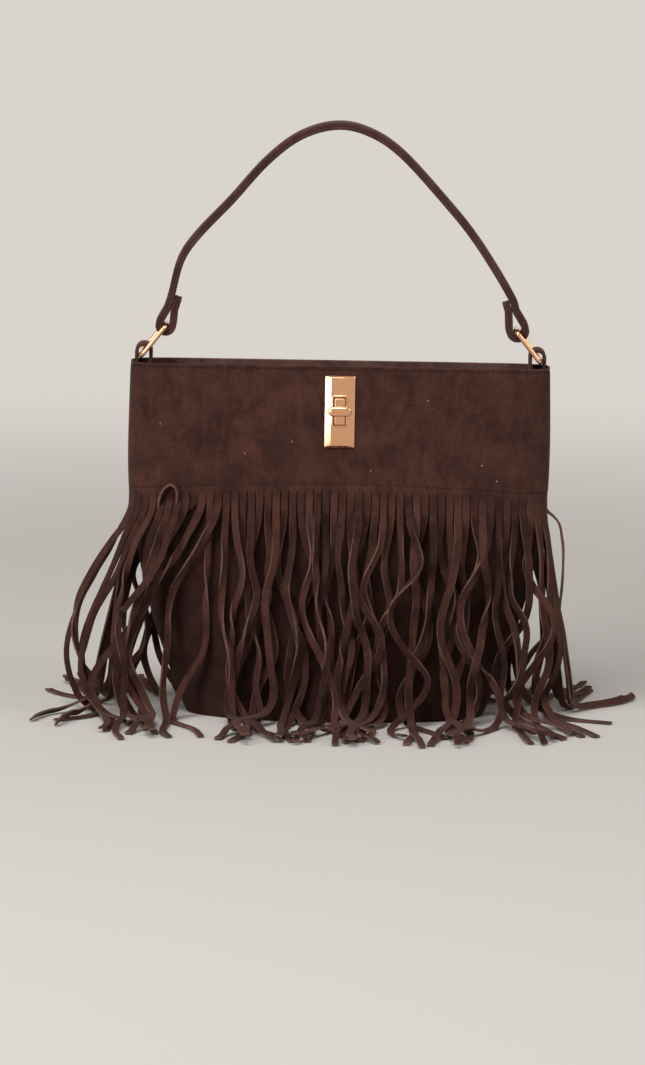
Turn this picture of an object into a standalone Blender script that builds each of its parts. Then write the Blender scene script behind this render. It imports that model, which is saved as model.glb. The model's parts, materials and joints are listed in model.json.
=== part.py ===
"""Fringed suede handbag with a strap handle on two wire rings and a turn lock.

The frame: +Z up, +X to the wearer's right as the front is looked at, and the front
faces -Y. The origin is the middle of the base's underside. All sizes are in metres.
"""

from math import atan2, cos, pi, radians, sin

import bmesh
import bpy
import numpy as np
from mathutils import Matrix, Vector

MM = 0.001

# Body, outside of the outermost sheet: widths and depths that the outline's curve is drawn to
BASE_WIDTH = 202 * MM
BELLY_WIDTH = 250 * MM
SHOULDER_WIDTH = 291 * MM
NECK_WIDTH = 279 * MM
TOP_WIDTH = 277 * MM
BASE_DEPTH = 76 * MM
BELLY_DEPTH = 86 * MM
NECK_DEPTH = 56 * MM
TOP_DEPTH = 31 * MM
BODY_HEIGHT = 235 * MM
YOKE_DEPTH = 84 * MM  # from the rim down to the stitches of the fringe sheet, at the side seams
SEAM_ARCH = 7.5 * MM  # by which those stitches rise towards the middle
PANEL_LAP = 8.5 * MM  # of the wall panel above their highest place
LINING_LAP = 20 * MM

# Cloth and suede, from the inside out
LINING_THICK = 0.6 * MM
SUEDE_THICK = 1.4 * MM
LAYER_GAP = 0.3 * MM
SHEET_GAP = 0.5 * MM  # between the fringe sheet and the wall, whose facets cross at the corners
SEAM_GAP = 0.3 * MM  # between the front and back pieces at the side seam
BOARD_THICK = 2.0 * MM

# Fringe
STRAND_WIDTH = 4.9 * MM
STRAND_GAP = 0.5 * MM
STRAND_LENGTH = 211 * MM
CUT_BELOW_SEAM = 4 * MM
LAYER_SPARE = 1.1 * MM  # between the strands that hang outside and those behind them
FLOOR_GAP = 0.2 * MM
WALL_SPARE = 0.8 * MM  # between a hanging strand and the wall behind it
STRAND_EASE = 26 * MM  # over which a strand moves out from its cut to its layer
TURN_RADIUS = 9 * MM  # of a strand's bend where it meets the floor
STRAND_WAVE = 1.7 * MM
STRAND_WAVES = 2.1  # waves along a strand
BOWED_STRANDS = 11  # at each side seam, bowing away from the bag
END_STRANDS = 6  # at each side seam, where the wall turns round its blunt end
STRANDS_PER_COLUMN = 4
FALL_STATIONS = (0.0, 0.10, 0.36, 0.67, 1.0)  # shares of a strand's fall to the floor's bend

# How the strands at each end of a panel leave the bag: how far they bow outward, and how
# much of the base's outward direction they take on the floor
FRONT_ENDS = ((38 * MM, 0.10), (20 * MM, 0.28))
BACK_ENDS = ((20 * MM, 0.28), (20 * MM, 0.28))

# Tabs, rings and handle
STRAP_WIDTH = 16 * MM
SEAT_CLEARANCE = 0.4 * MM  # round a ring's bar
TAB_THICK = 2.1 * MM
TAB_LOOP_ROOM = 1.6 * MM  # beside the bar in a tab's loop, more than its clearance
TAB_LOOP_RISE = 6.8 * MM  # of the loop's centre above the rim
TAB_DEPTH = 23.5 * MM  # how far the tab's ends reach below the rim
RING_WIRE = 3.2 * MM
RING_SIDE_GAP = 1.25 * MM  # between the strap's edges and the ring's sides
RING_SPACING = 25.5 * MM  # between the axes of a ring's two bars
RING_CORNER = 3.1 * MM
RING_DROP = 2.4 * MM  # of the lower bar's axis under the middle of the tab's loop
RING_LEAN = radians(38.5)
STRAP_LAYER = 2.15 * MM
STRAP_LEAN = radians(17)
HANDLE_RISE = 157.7 * MM  # from the rim to the strap's middle line at its highest
TAIL_LENGTH = 20 * MM
SWING_PLAY = 1.6 * MM  # more room on the outer side of the right bar, where the linkage is open

# The strap's arch: shares of the half span across, and of the rise above the rings' bars
ARCH_SHARES = (
    (-0.918, 0.324),
    (-0.823, 0.450),
    (-0.635, 0.625),
    (-0.440, 0.818),
    (-0.255, 0.945),
    (-0.055, 1.000),
    (0.130, 0.974),
    (0.330, 0.865),
    (0.611, 0.605),
    (0.750, 0.458),
    (0.875, 0.298),
)

# Turn lock
LOCK_DROP = 29 * MM  # of its middle under the rim
LOCK_SPAN = 20 * MM  # above and below its middle, where the wall's lean is taken
PLATE_WIDTH = 19.8 * MM
PLATE_LENGTH = 47 * MM
PLATE_THICK = 2.7 * MM
PLATE_EDGE = 1.2 * MM
PLATE_LAND = 0.1 * MM  # flat left between the slot's rim and the long bevels
SLOT_WIDTH = 8.6 * MM
SLOT_LENGTH = 18.8 * MM
SLOT_RIM = 1.3 * MM
SLOT_RIM_RISE = 0.5 * MM
RIM_ROUND = 0.4 * MM
BLOCK_CLEARANCE = 0.9 * MM
COUNTER_THICK = 1.0 * MM
COUNTER_MARGIN = 1.4 * MM
COUNTER_ROUND = 0.3 * MM
MALE_SIDE_LAP = 2.7 * MM  # of the male half's plate beyond the slot
MALE_END_LAP = 4.1 * MM
TOGGLE_SIDE_GAP = 1.1 * MM  # of the turned bar inside the slot
TOGGLE_END_GAP = 1.6 * MM
TOGGLE_THICK = 3.8 * MM
TOGGLE_ROUND = 1.3 * MM
SPINDLE_RADIUS = 1.8 * MM
SPINDLE_CLEARANCE = 0.35 * MM
CLIP_THICK = 0.6 * MM
CLIP_WIDTH = 1.6 * MM
PRONG_WIDTH = 4.0 * MM
PRONG_THICK = 0.7 * MM
PRONG_FOLD = 2.6 * MM
PRONG_EDGE = 4.5 * MM  # of the plate's prongs, in from its ends
MALE_PRONG_EDGE = 1.6 * MM
METAL_GAP = 0.35 * MM
CUT_MARGIN = 2.0 * MM  # by which a cutter runs past what it cuts
TONGUE_SIDE_LAP = 6.0 * MM  # of the tongue beyond the male half's plate
TONGUE_FOOT_LAP = 6.5 * MM
TONGUE_HEAD_LAP = 2.5 * MM
TONGUE_THICK = 1.8 * MM
TONGUE_TOP = 6 * MM  # under the rim

# Layers as distances outside the lining's inner face
LINING_OUT = LINING_THICK
WALL_IN = LINING_OUT + LAYER_GAP
WALL_MID = WALL_IN + SUEDE_THICK / 2
WALL_OUT = WALL_IN + SUEDE_THICK
SHEET_IN = WALL_OUT + SHEET_GAP
SHEET_MID = SHEET_IN + SUEDE_THICK / 2
SHELL = SHEET_IN + SUEDE_THICK

SEAM_HEIGHT = BODY_HEIGHT - YOKE_DEPTH
LINING_TOP = SEAM_HEIGHT + SEAM_ARCH + LINING_LAP
CUT_HEIGHT = SEAM_HEIGHT - CUT_BELOW_SEAM
LEVELS = (0.0, 0.21 * CUT_HEIGHT, 0.44 * CUT_HEIGHT, 0.72 * CUT_HEIGHT, CUT_HEIGHT)
LEVELS += ((CUT_HEIGHT + BODY_HEIGHT) / 2, BODY_HEIGHT)  # where every layer of the wall has a row
PANEL_FOOT = SUEDE_THICK + LAYER_GAP
PANEL_TOP = SEAM_HEIGHT + SEAM_ARCH + PANEL_LAP
FACING_FOOT = PANEL_TOP + LAYER_GAP
LINING_FOOT = PANEL_FOOT + BOARD_THICK + LAYER_GAP

STRAND_PITCH = STRAND_WIDTH + STRAND_GAP
LAYER_STEP = SUEDE_THICK + LAYER_SPARE

RING_BAR_RADIUS = RING_WIRE / 2
RING_INNER_WIDTH = STRAP_WIDTH + 2 * RING_SIDE_GAP
TAB_LOOP_RADIUS = RING_BAR_RADIUS + SEAT_CLEARANCE + TAB_LOOP_ROOM
TAB_MID_RADIUS = TAB_LOOP_RADIUS + TAB_THICK / 2
HANDLE_HEIGHT = BODY_HEIGHT + HANDLE_RISE

LOCK_HEIGHT = BODY_HEIGHT - LOCK_DROP
PLATE_BEVEL = (PLATE_WIDTH - SLOT_WIDTH) / 2 - SLOT_RIM - PLATE_LAND
MALE_WIDTH = SLOT_WIDTH + 2 * MALE_SIDE_LAP
MALE_LENGTH = SLOT_LENGTH + 2 * MALE_END_LAP
TOGGLE_LENGTH = SLOT_LENGTH - 2 * TOGGLE_END_GAP
TOGGLE_WIDTH = SLOT_WIDTH - 2 * TOGGLE_SIDE_GAP
PRONG_REACH = PLATE_LENGTH / 2 - PRONG_EDGE
MALE_PRONG_REACH = MALE_LENGTH / 2 - MALE_PRONG_EDGE
TONGUE_WIDTH = MALE_WIDTH + 2 * TONGUE_SIDE_LAP
TONGUE_DROP = MALE_LENGTH / 2 + TONGUE_FOOT_LAP
TONGUE_HEAD = MALE_LENGTH / 2 + TONGUE_HEAD_LAP


def make_material(name, colour, roughness, metallic=0.0):
    material = bpy.data.materials.new(name)
    material.use_nodes = True
    shader = material.node_tree.nodes["Principled BSDF"]
    shader.inputs["Base Color"].default_value = (*colour, 1.0)
    shader.inputs["Roughness"].default_value = roughness
    shader.inputs["Metallic"].default_value = metallic
    return material


def clear_scene():
    for obj in list(bpy.data.objects):
        bpy.data.objects.remove(obj)


def bezier(points, share):
    """A Bezier curve's value at each share, for control values of any number."""
    values = [np.full(np.shape(share), float(point)) for point in points]
    while len(values) > 1:
        values = [low + (high - low) * share for low, high in zip(values, values[1:])]
    return values[0]


def section(height):
    """Half width, half depth and roundness of the lining's inner outline at a height."""
    share = np.asarray(height, float) / BODY_HEIGHT
    widths = (BASE_WIDTH, BELLY_WIDTH, SHOULDER_WIDTH, NECK_WIDTH, TOP_WIDTH)
    depths = (BASE_DEPTH, BELLY_DEPTH, NECK_DEPTH, TOP_DEPTH)
    half_width = bezier(widths, share) / 2 - SHELL
    half_depth = bezier(depths, share) / 2 - SHELL
    return half_width, half_depth, 2.1 + 3.9 * share**2


def wall_outline(height, distance, samples=900):
    """The front half of the outline at a height, from the left seam to the right one.

    The lining's inner outline is a superellipse, and each layer lies a set distance
    outside it, so that the side seams turn round a blunt end.
    """
    half_width, half_depth, power = section(height)
    step = np.linspace(0.0, 1.0, samples)
    angle = pi * (1 - step * step * (3 - 2 * step))
    across = np.sign(np.cos(angle)) * np.abs(np.cos(angle)) ** (2 / power)
    out = np.abs(np.sin(angle)) ** (2 / power)
    out[[0, -1]] = 0.0
    slope_x = np.sign(across) * np.abs(across) ** (power - 1) / half_width
    slope_y = -(out ** (power - 1)) / half_depth
    size = np.hypot(slope_x, slope_y)
    x = half_width * across + distance * slope_x / size
    y = -half_depth * out + distance * slope_y / size
    return x, y, slope_x / size, slope_y / size


def level_row(shares, height, distance):
    """Points and outward directions at shares of the front half outline's length."""
    x, y, normal_x, normal_y = wall_outline(height, distance)
    length = np.concatenate([[0.0], np.cumsum(np.hypot(np.diff(x), np.diff(y)))])
    place = np.asarray(shares) * length[-1]
    columns = [np.interp(place, length, values) for values in (x, y, normal_x, normal_y)]
    return np.stack(columns, axis=1), length[-1]


def wall_row(shares, height, distance):
    """The same at any height, or at one height for each share: between two levels every
    layer of the wall runs straight."""
    place = np.interp(height, LEVELS, np.arange(len(LEVELS))) * np.ones(len(shares))
    low = np.minimum(place.astype(int), len(LEVELS) - 2)
    rows = {level: level_row(shares, LEVELS[level], distance)[0] for level in {*low, *(low + 1)}}
    lower = np.array([rows[level][column] for column, level in enumerate(low)])
    upper = np.array([rows[level][column] for column, level in enumerate(low + 1)])
    return lower + (upper - lower) * (place - low)[:, None]


def heights_between(foot, top):
    """A layer's rows: its own foot and top, and the levels between them."""
    return [foot, *(level for level in LEVELS if foot < level < top), top]


def wall_depth(x, height, distance):
    """How far in front of the seam plane the wall stands at a place across the bag."""
    row = wall_row(np.linspace(0, 1, 241), height, distance)
    return np.interp(np.abs(x), row[120:, 0], -row[120:, 1], right=0.0)


def wall_reach(y, height, distance):
    """How far from the middle the blunt end stands at a place front to back."""
    row = wall_row(np.linspace(0.8, 1, 121), height, distance)
    return np.interp(abs(y), -row[::-1, 1], row[::-1, 0])


def cut_height(shares):
    """Where the fringe's cuts end, under stitches that rise towards the middle."""
    across = 2 * np.asarray(shares) - 1
    return CUT_HEIGHT + SEAM_ARCH * (1 - across**2)


def strand_places():
    """The shares of the outline where each strand's middle and two edges lie."""
    _, length = level_row([0.0], CUT_HEIGHT, SHEET_MID)
    count = 2 * int(length / STRAND_PITCH / 2)
    half = STRAND_WIDTH / length / 2
    centres = (np.arange(count) + 0.5) / count
    edges = np.stack([centres - half, centres + half], axis=1).reshape(-1)
    return centres, edges


def wall_shares():
    """Columns of every wall layer: one at each strand near the side seams, where the
    layers must bend together, and one at every few strands along the flat of the wall."""
    centres, edges = strand_places()
    near = np.arange(END_STRANDS + 1) / len(centres)
    far = np.arange(END_STRANDS, len(centres) - END_STRANDS, STRANDS_PER_COLUMN) / len(centres)
    shares = np.concatenate([near, far[1:], 1 - near[::-1]])
    return np.clip(shares, edges[0], edges[-1])


def add_object(name, mesh, collection, material):
    obj = bpy.data.objects.new(name, mesh)
    collection.objects.link(obj)
    if material:
        obj.data.materials.append(material)
    return obj


def mesh_from(name, points, faces):
    mesh = bpy.data.meshes.new(name)
    mesh.from_pydata([tuple(point) for point in points], [], faces)
    mesh.validate()
    return mesh


def thicken(obj, thickness):
    solidify = obj.modifiers.new("thickness", "SOLIDIFY")
    solidify.thickness = thickness
    solidify.offset = 0.0
    solidify.use_even_offset = True
    return solidify


def subtract(obj, cutters):
    for cutter in cutters:
        boolean = obj.modifiers.new("cut " + cutter.name, "BOOLEAN")
        boolean.object = cutter
        boolean.solver = "EXACT"


def unite(obj, helper):
    boolean = obj.modifiers.new("join " + helper.name, "BOOLEAN")
    boolean.object = helper
    boolean.operation = "UNION"
    boolean.solver = "EXACT"


def make_cutter(obj):
    """Keeps a helper out of the part: only modifiers read it."""
    obj.hide_render = True
    obj.display_type = "WIRE"
    return obj


def round_edges(obj, width, segments=1):
    bevel = obj.modifiers.new("round edges", "BEVEL")
    bevel.width = width
    bevel.segments = segments
    bevel.limit_method = "ANGLE"
    bevel.angle_limit = radians(40)
    return bevel


def smooth(obj, angle=35):
    obj.data.shade_smooth()
    obj.data.set_sharp_from_angle(angle=radians(angle))


def grid_faces(rows, columns, flip):
    faces = []
    for row in range(rows - 1):
        for column in range(columns - 1):
            low = row * columns + column
            quad = (low, low + 1, low + columns + 1, low + columns)
            faces.append(quad[::-1] if flip else quad)
    return faces


def wall_sheet(name, heights, distance, side, collection, material):
    """One half of the wall as a sheet: side is 1 for the front and -1 for the back."""
    shares = wall_shares()
    points = []
    for height in heights:
        row = wall_row(shares, height, distance)
        points += [(x, side * (y - SEAM_GAP / 2), height) for x, y, _, _ in row]
    faces = grid_faces(len(heights), len(shares), flip=side < 0)
    obj = add_object(name, mesh_from(name, points, faces), collection, material)
    thicken(obj, SUEDE_THICK)
    smooth(obj)
    return obj


def full_outline(height, distance):
    """The whole outline as a ring of points, front and back."""
    row = wall_row(wall_shares(), height, distance)
    front = [(x, y) for x, y, _, _ in row]
    back = [(x, -y) for x, y in front[::-1]]
    return front + back


def outline_plate(name, foot, top, distance, collection, material):
    """A flat plate of the bag's base outline, as a filled curve."""
    outline = full_outline(0.0, distance)
    curve = bpy.data.curves.new(name, "CURVE")
    curve.dimensions = "2D"
    curve.fill_mode = "BOTH"
    curve.extrude = (top - foot) / 2
    spline = curve.splines.new("POLY")
    spline.points.add(len(outline) - 1)
    for point, (x, y) in zip(spline.points, outline):
        point.co = (x, y, 0.0, 1.0)
    spline.use_cyclic_u = True
    obj = add_object(name, curve, collection, material)
    obj.location.z = (foot + top) / 2
    return obj


def make_lining(collection, material):
    """A bucket of cloth: one floor face and rows of wall."""
    heights = heights_between(LINING_FOOT + LINING_THICK / 2, LINING_TOP)
    rows = [full_outline(height, LINING_THICK / 2) for height in heights]
    count = len(rows[0])
    points = [(x, y, height) for height, row in zip(heights, rows) for x, y in row]
    faces = [tuple(range(count))[::-1]]
    for row in range(len(rows) - 1):
        for step in range(count):
            beside = (step + 1) % count
            low, high = row * count, (row + 1) * count
            faces.append((low + step, low + beside, high + beside, high + step))
    lining = add_object("lining", mesh_from("lining", points, faces), collection, material)
    thicken(lining, LINING_THICK)
    smooth(lining)
    return lining


def strand_bow(fall, from_end, bow):
    """How far a strand has bowed outward at shares of its fall to the floor."""
    return bow * max(0.0, 1 - from_end / BOWED_STRANDS) ** 1.4 * fall**1.3


def strand_wave(share, from_end, phase):
    """How far it has waved sideways at shares of its length. Those next to a side seam
    hang side by side, and don't wave."""
    loose = min(max(from_end / END_STRANDS - 1, 0.0), 1.0) * np.clip(share / 0.25, 0, 1)
    return STRAND_WAVE * loose * np.sin(2 * pi * STRAND_WAVES * share + phase)


def strand_path(index, count, ends, layer, phase):
    """Middle points and width directions of one strand, from its cut to its tip.

    It hangs down the wall, or straight down where the wall draws in beneath it, bends
    at the floor, and runs outward over it.
    """
    place = (index + 0.5) / count
    from_end = min(index, count - 1 - index)
    side = 1 if place > 0.5 else -1
    bow, foot_share = ends[max(side, 0)]
    step = LAYER_STEP * min(max((from_end - 1) / 3, 0.0), 1.0)
    cut = cut_height(place)
    root_x, root_y, normal_x, normal_y = wall_row([place], cut, SHEET_MID)[0]
    _, _, foot_x, foot_y = wall_row([place], 0.0, SHEET_MID)[0]
    level = FLOOR_GAP + SUEDE_THICK / 2 + layer * LAYER_STEP
    hang = cut - level - TURN_RADIUS
    turn = TURN_RADIUS * pi / 2
    falling = [hang * share for share in FALL_STATIONS]
    lengths = np.array([*falling, hang + turn / 2, hang + turn, STRAND_LENGTH])
    fall = np.minimum(lengths, hang)
    bend = np.clip((lengths - hang) / turn, 0, 1) * pi / 2
    run = np.maximum(lengths - hang - turn, 0)
    ease = np.clip(lengths / STRAND_EASE, 0, 1)
    root_angle = atan2(normal_x, -normal_y)
    foot_angle = atan2(foot_x, -foot_y) * foot_share
    heading = root_angle + (foot_angle - root_angle) * (fall / hang) ** 3
    out = np.stack([np.sin(heading), -np.cos(heading)], axis=1)
    along = np.stack([np.cos(heading), np.sin(heading)], axis=1)
    wave = strand_wave(lengths / STRAND_LENGTH, from_end, phase)
    x = root_x + side * strand_bow(fall / hang, from_end, bow) + wave * along[:, 0]
    heights = cut - fall
    wall = np.array([wall_depth(at, height, SHEET_MID) for at, height in zip(x, heights)])
    depth = np.maximum.accumulate(np.maximum(-root_y, wall + ease * WALL_SPARE))
    reach = layer * step * ease + TURN_RADIUS * (1 - np.cos(bend)) + run
    points_y = wave * along[:, 1] - depth - SEAM_GAP / 2 + out[:, 1] * reach
    points_z = heights - TURN_RADIUS * np.sin(bend)
    return np.stack([x + out[:, 0] * reach, points_y, points_z], axis=1), along


def fringe_panel(name, side, ends, seed, collection, material):
    """The yoke and its strands as one sheet, cut from a single hide."""
    centres, edges = strand_places()
    flip = np.array([1.0, side, 1.0])
    points = []
    rows = [cut_height(edges), *(level for level in LEVELS if level > CUT_HEIGHT)]
    for row in rows:
        heights = row * np.ones(len(edges))
        for (x, y, _, _), height in zip(wall_row(edges, heights, SHEET_MID), heights):
            points.append((x, side * (y - SEAM_GAP / 2), height))
    faces = grid_faces(len(rows), len(edges), flip=side < 0)
    phases = np.random.default_rng(seed).uniform(-0.9, 0.9, len(centres))
    for index, phase in enumerate(phases):
        layer = (index + (side < 0)) % 2
        middle, along = strand_path(index, len(centres), ends, layer, phase)
        above = (2 * index, 2 * index + 1)
        for centre, (width_x, width_y) in zip(middle[1:], along[1:]):
            first = len(points)
            for end in (-0.5, 0.5):
                shift = end * STRAND_WIDTH * np.array([width_x, width_y, 0.0])
                points.append(tuple((centre + shift) * flip))
            quad = (first, first + 1, above[1], above[0])
            faces.append(quad[::-1] if side < 0 else quad)
            above = (first, first + 1)
    obj = add_object(name, mesh_from(name, points, faces), collection, material)
    thicken(obj, SUEDE_THICK)
    smooth(obj)
    return obj


def smooth_path(points, steps):
    """A Catmull-Rom curve through the points, with a number of steps for each stretch."""
    points = np.array(points, float)
    padded = np.vstack([2 * points[0] - points[1], points, 2 * points[-1] - points[-2]])
    path = []
    for index in range(1, len(padded) - 2):
        before, start, end, after = padded[index - 1 : index + 3]
        for step in range(steps):
            t = step / steps
            path.append(
                0.5
                * (
                    2 * start
                    + (end - before) * t
                    + (2 * before - 5 * start + 4 * end - after) * t**2
                    + (3 * start - before - 3 * end + after) * t**3
                )
            )
    path.append(points[-1])
    return np.array(path)


def path_normals(path):
    """Unit directions to the left of a flat path's travel."""
    travel = np.gradient(path, axis=0)
    travel /= np.linalg.norm(travel, axis=1)[:, None]
    return np.stack([-travel[:, 1], travel[:, 0]], axis=1)


def strap(name, path, width, thickness, plane, collection, material):
    """A strap along a flat path: plane turns a path point and an offset into a place."""
    points = []
    for step in path:
        points.append(plane(step, -width / 2))
        points.append(plane(step, width / 2))
    faces = grid_faces(len(path), 2, flip=False)
    obj = add_object(name, mesh_from(name, points, faces), collection, material)
    thicken(obj, thickness)
    smooth(obj)
    return obj


def seen_from_front(step, offset):
    return (step[0], offset, step[1])


def arc(centre, radius, start, end, steps):
    """Points on a circle, from one angle to another."""
    angles = np.linspace(start, end, steps)
    return [(centre[0] + radius * cos(a), centre[1] + radius * sin(a)) for a in angles]


def tab_centre():
    """The right tab's loop centre, seen from the front."""
    edge = STRAP_WIDTH / 2
    foot = BODY_HEIGHT - TAB_DEPTH
    inside = min(wall_reach(edge, height, SHEET_IN) for height in (foot, BODY_HEIGHT))
    return inside - LAYER_GAP - TAB_THICK / 2 - TAB_MID_RADIUS, BODY_HEIGHT + TAB_LOOP_RISE


def make_tab(name, side, collection, material):
    centre_x, centre_z = tab_centre()
    outer = centre_x + TAB_MID_RADIUS
    inner = centre_x - TAB_MID_RADIUS
    beside = outer - TAB_THICK - LAYER_GAP
    foot = BODY_HEIGHT - TAB_DEPTH
    drop = centre_z - foot
    loop = arc((centre_x, centre_z), TAB_MID_RADIUS, 0.0, pi, 8)
    turn = [
        (inner, centre_z - 0.14 * drop),
        (inner + 0.08 * (beside - inner), centre_z - 0.26 * drop),
        (inner + 0.50 * (beside - inner), centre_z - 0.42 * drop),
        (inner + 0.92 * (beside - inner), centre_z - 0.58 * drop),
        (beside, centre_z - 0.72 * drop),
        (beside, foot),
    ]
    path = np.array([(outer, foot), *loop, *turn])
    path[:, 0] *= side
    return strap(name, path, STRAP_WIDTH, TAB_THICK, seen_from_front, collection, material)


def ring_bars(side):
    """The axes of a ring's lower and upper bars, seen from the front."""
    centre_x, _ = tab_centre()
    lower_x = centre_x + TAB_LOOP_RADIUS - SEAT_CLEARANCE - RING_BAR_RADIUS
    lower_z = BODY_HEIGHT + TAB_LOOP_RISE - RING_DROP
    upper_x = lower_x - RING_SPACING * sin(RING_LEAN)
    upper_z = lower_z + RING_SPACING * cos(RING_LEAN)
    return np.array([side * lower_x, lower_z]), np.array([side * upper_x, upper_z])


def make_ring(name, side, collection, material):
    """A rectangle of round wire with tight corners, its origin on its lower bar."""
    half = RING_INNER_WIDTH / 2 + RING_BAR_RADIUS
    corners = (
        (half - RING_CORNER, RING_SPACING - RING_CORNER, 0.0),
        (RING_CORNER - half, RING_SPACING - RING_CORNER, pi / 2),
        (RING_CORNER - half, RING_CORNER, pi),
        (half - RING_CORNER, RING_CORNER, 1.5 * pi),
    )
    outline = []
    for y, up, start in corners:
        outline += arc((y, up), RING_CORNER, start, start + pi / 2, 5)
    curve = bpy.data.curves.new(name, "CURVE")
    curve.dimensions = "3D"
    curve.bevel_depth = RING_BAR_RADIUS
    curve.bevel_resolution = 2
    spline = curve.splines.new("POLY")
    spline.points.add(len(outline) - 1)
    for point, (y, up) in zip(spline.points, outline):
        point.co = (0.0, y, up, 1.0)
    spline.use_cyclic_u = True
    obj = add_object(name, curve, collection, material)
    lower, _ = ring_bars(side)
    obj.location = (lower[0], 0.0, lower[1])
    obj.rotation_euler = (0.0, -side * RING_LEAN, 0.0)
    return obj


def loop_path(side, play):
    """The strap's middle line round a ring's upper bar, from the tail's tip upward.

    It is told in a frame whose up direction follows the strap and whose out direction
    points away from the bag's middle.
    """
    _, bar = ring_bars(side)
    up = np.array([-side * sin(STRAP_LEAN), cos(STRAP_LEAN)])
    out = np.array([side * cos(STRAP_LEAN), sin(STRAP_LEAN)])
    half = STRAP_LAYER + LAYER_GAP / 2
    radius = RING_BAR_RADIUS + SEAT_CLEARANCE + play / 2 + half
    centre = bar + out * play / 2
    beside = half + LAYER_GAP / 2
    climb = np.array([(beside, 1.0), (0.55 * beside + 0.45 * radius, 0.62), (radius, 0.18)])
    neck = 2.6 * radius
    inner = [(-across, rise * neck) for across, rise in climb]
    outer = [(across, rise * neck) for across, rise in climb[::-1]]
    round_bar = [(-radius * cos(a), -radius * sin(a)) for a in np.linspace(0.0, pi, 9)]
    told = [(-beside, TAIL_LENGTH), *inner, *round_bar, *outer, (beside, TAIL_LENGTH)]
    return [centre + across * out + rise * up for across, rise in told]


def handle_path():
    """The strap's middle line, from the left tail round both bars to the right tail."""
    _, left_bar = ring_bars(-1)
    _, right_bar = ring_bars(1)
    middle = (left_bar[0] + right_bar[0]) / 2
    span = (right_bar[0] - left_bar[0]) / 2
    rise = HANDLE_HEIGHT - left_bar[1]
    crown = [(middle + across * span, left_bar[1] + up * rise) for across, up in ARCH_SHARES]
    left = loop_path(-1, 0.0)
    right = loop_path(1, SWING_PLAY)[::-1]
    return np.array(left[:-1]), np.array([left[-1], *crown, right[0]]), np.array(right[1:])


def make_handle(collection, material):
    left, crown, right = handle_path()
    path = np.vstack([left, smooth_path(crown, 2), right])
    normals = path_normals(path)
    offset = (STRAP_LAYER + LAYER_GAP) / 2
    _, bar = ring_bars(-1)
    layers = []
    for name, sign in (("handle_outer", 1), ("handle_inner", -1)):
        line = path + sign * offset * normals
        layer = strap(name, line, STRAP_WIDTH, STRAP_LAYER, seen_from_front, collection, material)
        move_origin(layer, (bar[0], 0.0, bar[1]))
        layers.append(layer)
    return layers


def move_origin(obj, place):
    """Puts an object's origin on its joint's axis without moving its shape."""
    obj.data.transform(Matrix.Translation(-Vector(place)))
    obj.location = place


def lock_frame():
    """A frame on the yoke's outer face: X across, Y into the bag, Z up the wall."""
    low = wall_depth(0.0, LOCK_HEIGHT - LOCK_SPAN, SHELL)
    high = wall_depth(0.0, LOCK_HEIGHT + LOCK_SPAN, SHELL)
    front = wall_depth(0.0, LOCK_HEIGHT, SHELL) + SEAM_GAP / 2
    tilt = atan2(low - high, 2 * LOCK_SPAN)
    return Matrix.Translation((0.0, -front, LOCK_HEIGHT)) @ Matrix.Rotation(-tilt, 4, "X")


def lock_depths():
    """Where each layer of the lock starts, as a depth behind the yoke's outer face."""
    wall = SHELL - WALL_IN + METAL_GAP
    depth = {"plate": -METAL_GAP - PLATE_THICK, "counter": wall}
    depth["prong_bend"] = wall + COUNTER_THICK + LAYER_GAP
    depth["male"] = depth["prong_bend"] + PRONG_THICK + METAL_GAP
    depth["tongue"] = depth["male"] + COUNTER_THICK + LAYER_GAP
    depth["backing"] = depth["tongue"] + TONGUE_THICK + LAYER_GAP
    depth["male_bend"] = depth["backing"] + COUNTER_THICK + LAYER_GAP
    depth["washer"] = depth["backing"] + COUNTER_THICK + LAYER_GAP
    depth["clip"] = depth["washer"] + CLIP_THICK + LAYER_GAP
    depth["end"] = depth["clip"] + CLIP_THICK + METAL_GAP
    return depth


def box_mesh(name, size, place):
    """A box from the cube primitive, as size and middle in the lock's frame."""
    mesh = bpy.data.meshes.new(name)
    shape = bmesh.new()
    bmesh.ops.create_cube(shape, size=1.0)
    bmesh.ops.scale(shape, vec=size, verts=shape.verts)
    bmesh.ops.translate(shape, vec=place, verts=shape.verts)
    shape.to_mesh(mesh)
    shape.free()
    return mesh


def rod_mesh(name, radius, start, end, sides=16):
    """A rod along the lock's depth, from one depth to another."""
    mesh = bpy.data.meshes.new(name)
    shape = bmesh.new()
    bmesh.ops.create_cone(
        shape,
        cap_ends=True,
        segments=sides,
        radius1=radius,
        radius2=radius,
        depth=end - start,
        matrix=Matrix.Translation((0.0, (start + end) / 2, 0.0)) @ Matrix.Rotation(pi / 2, 4, "X"),
    )
    shape.to_mesh(mesh)
    shape.free()
    return mesh


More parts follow.
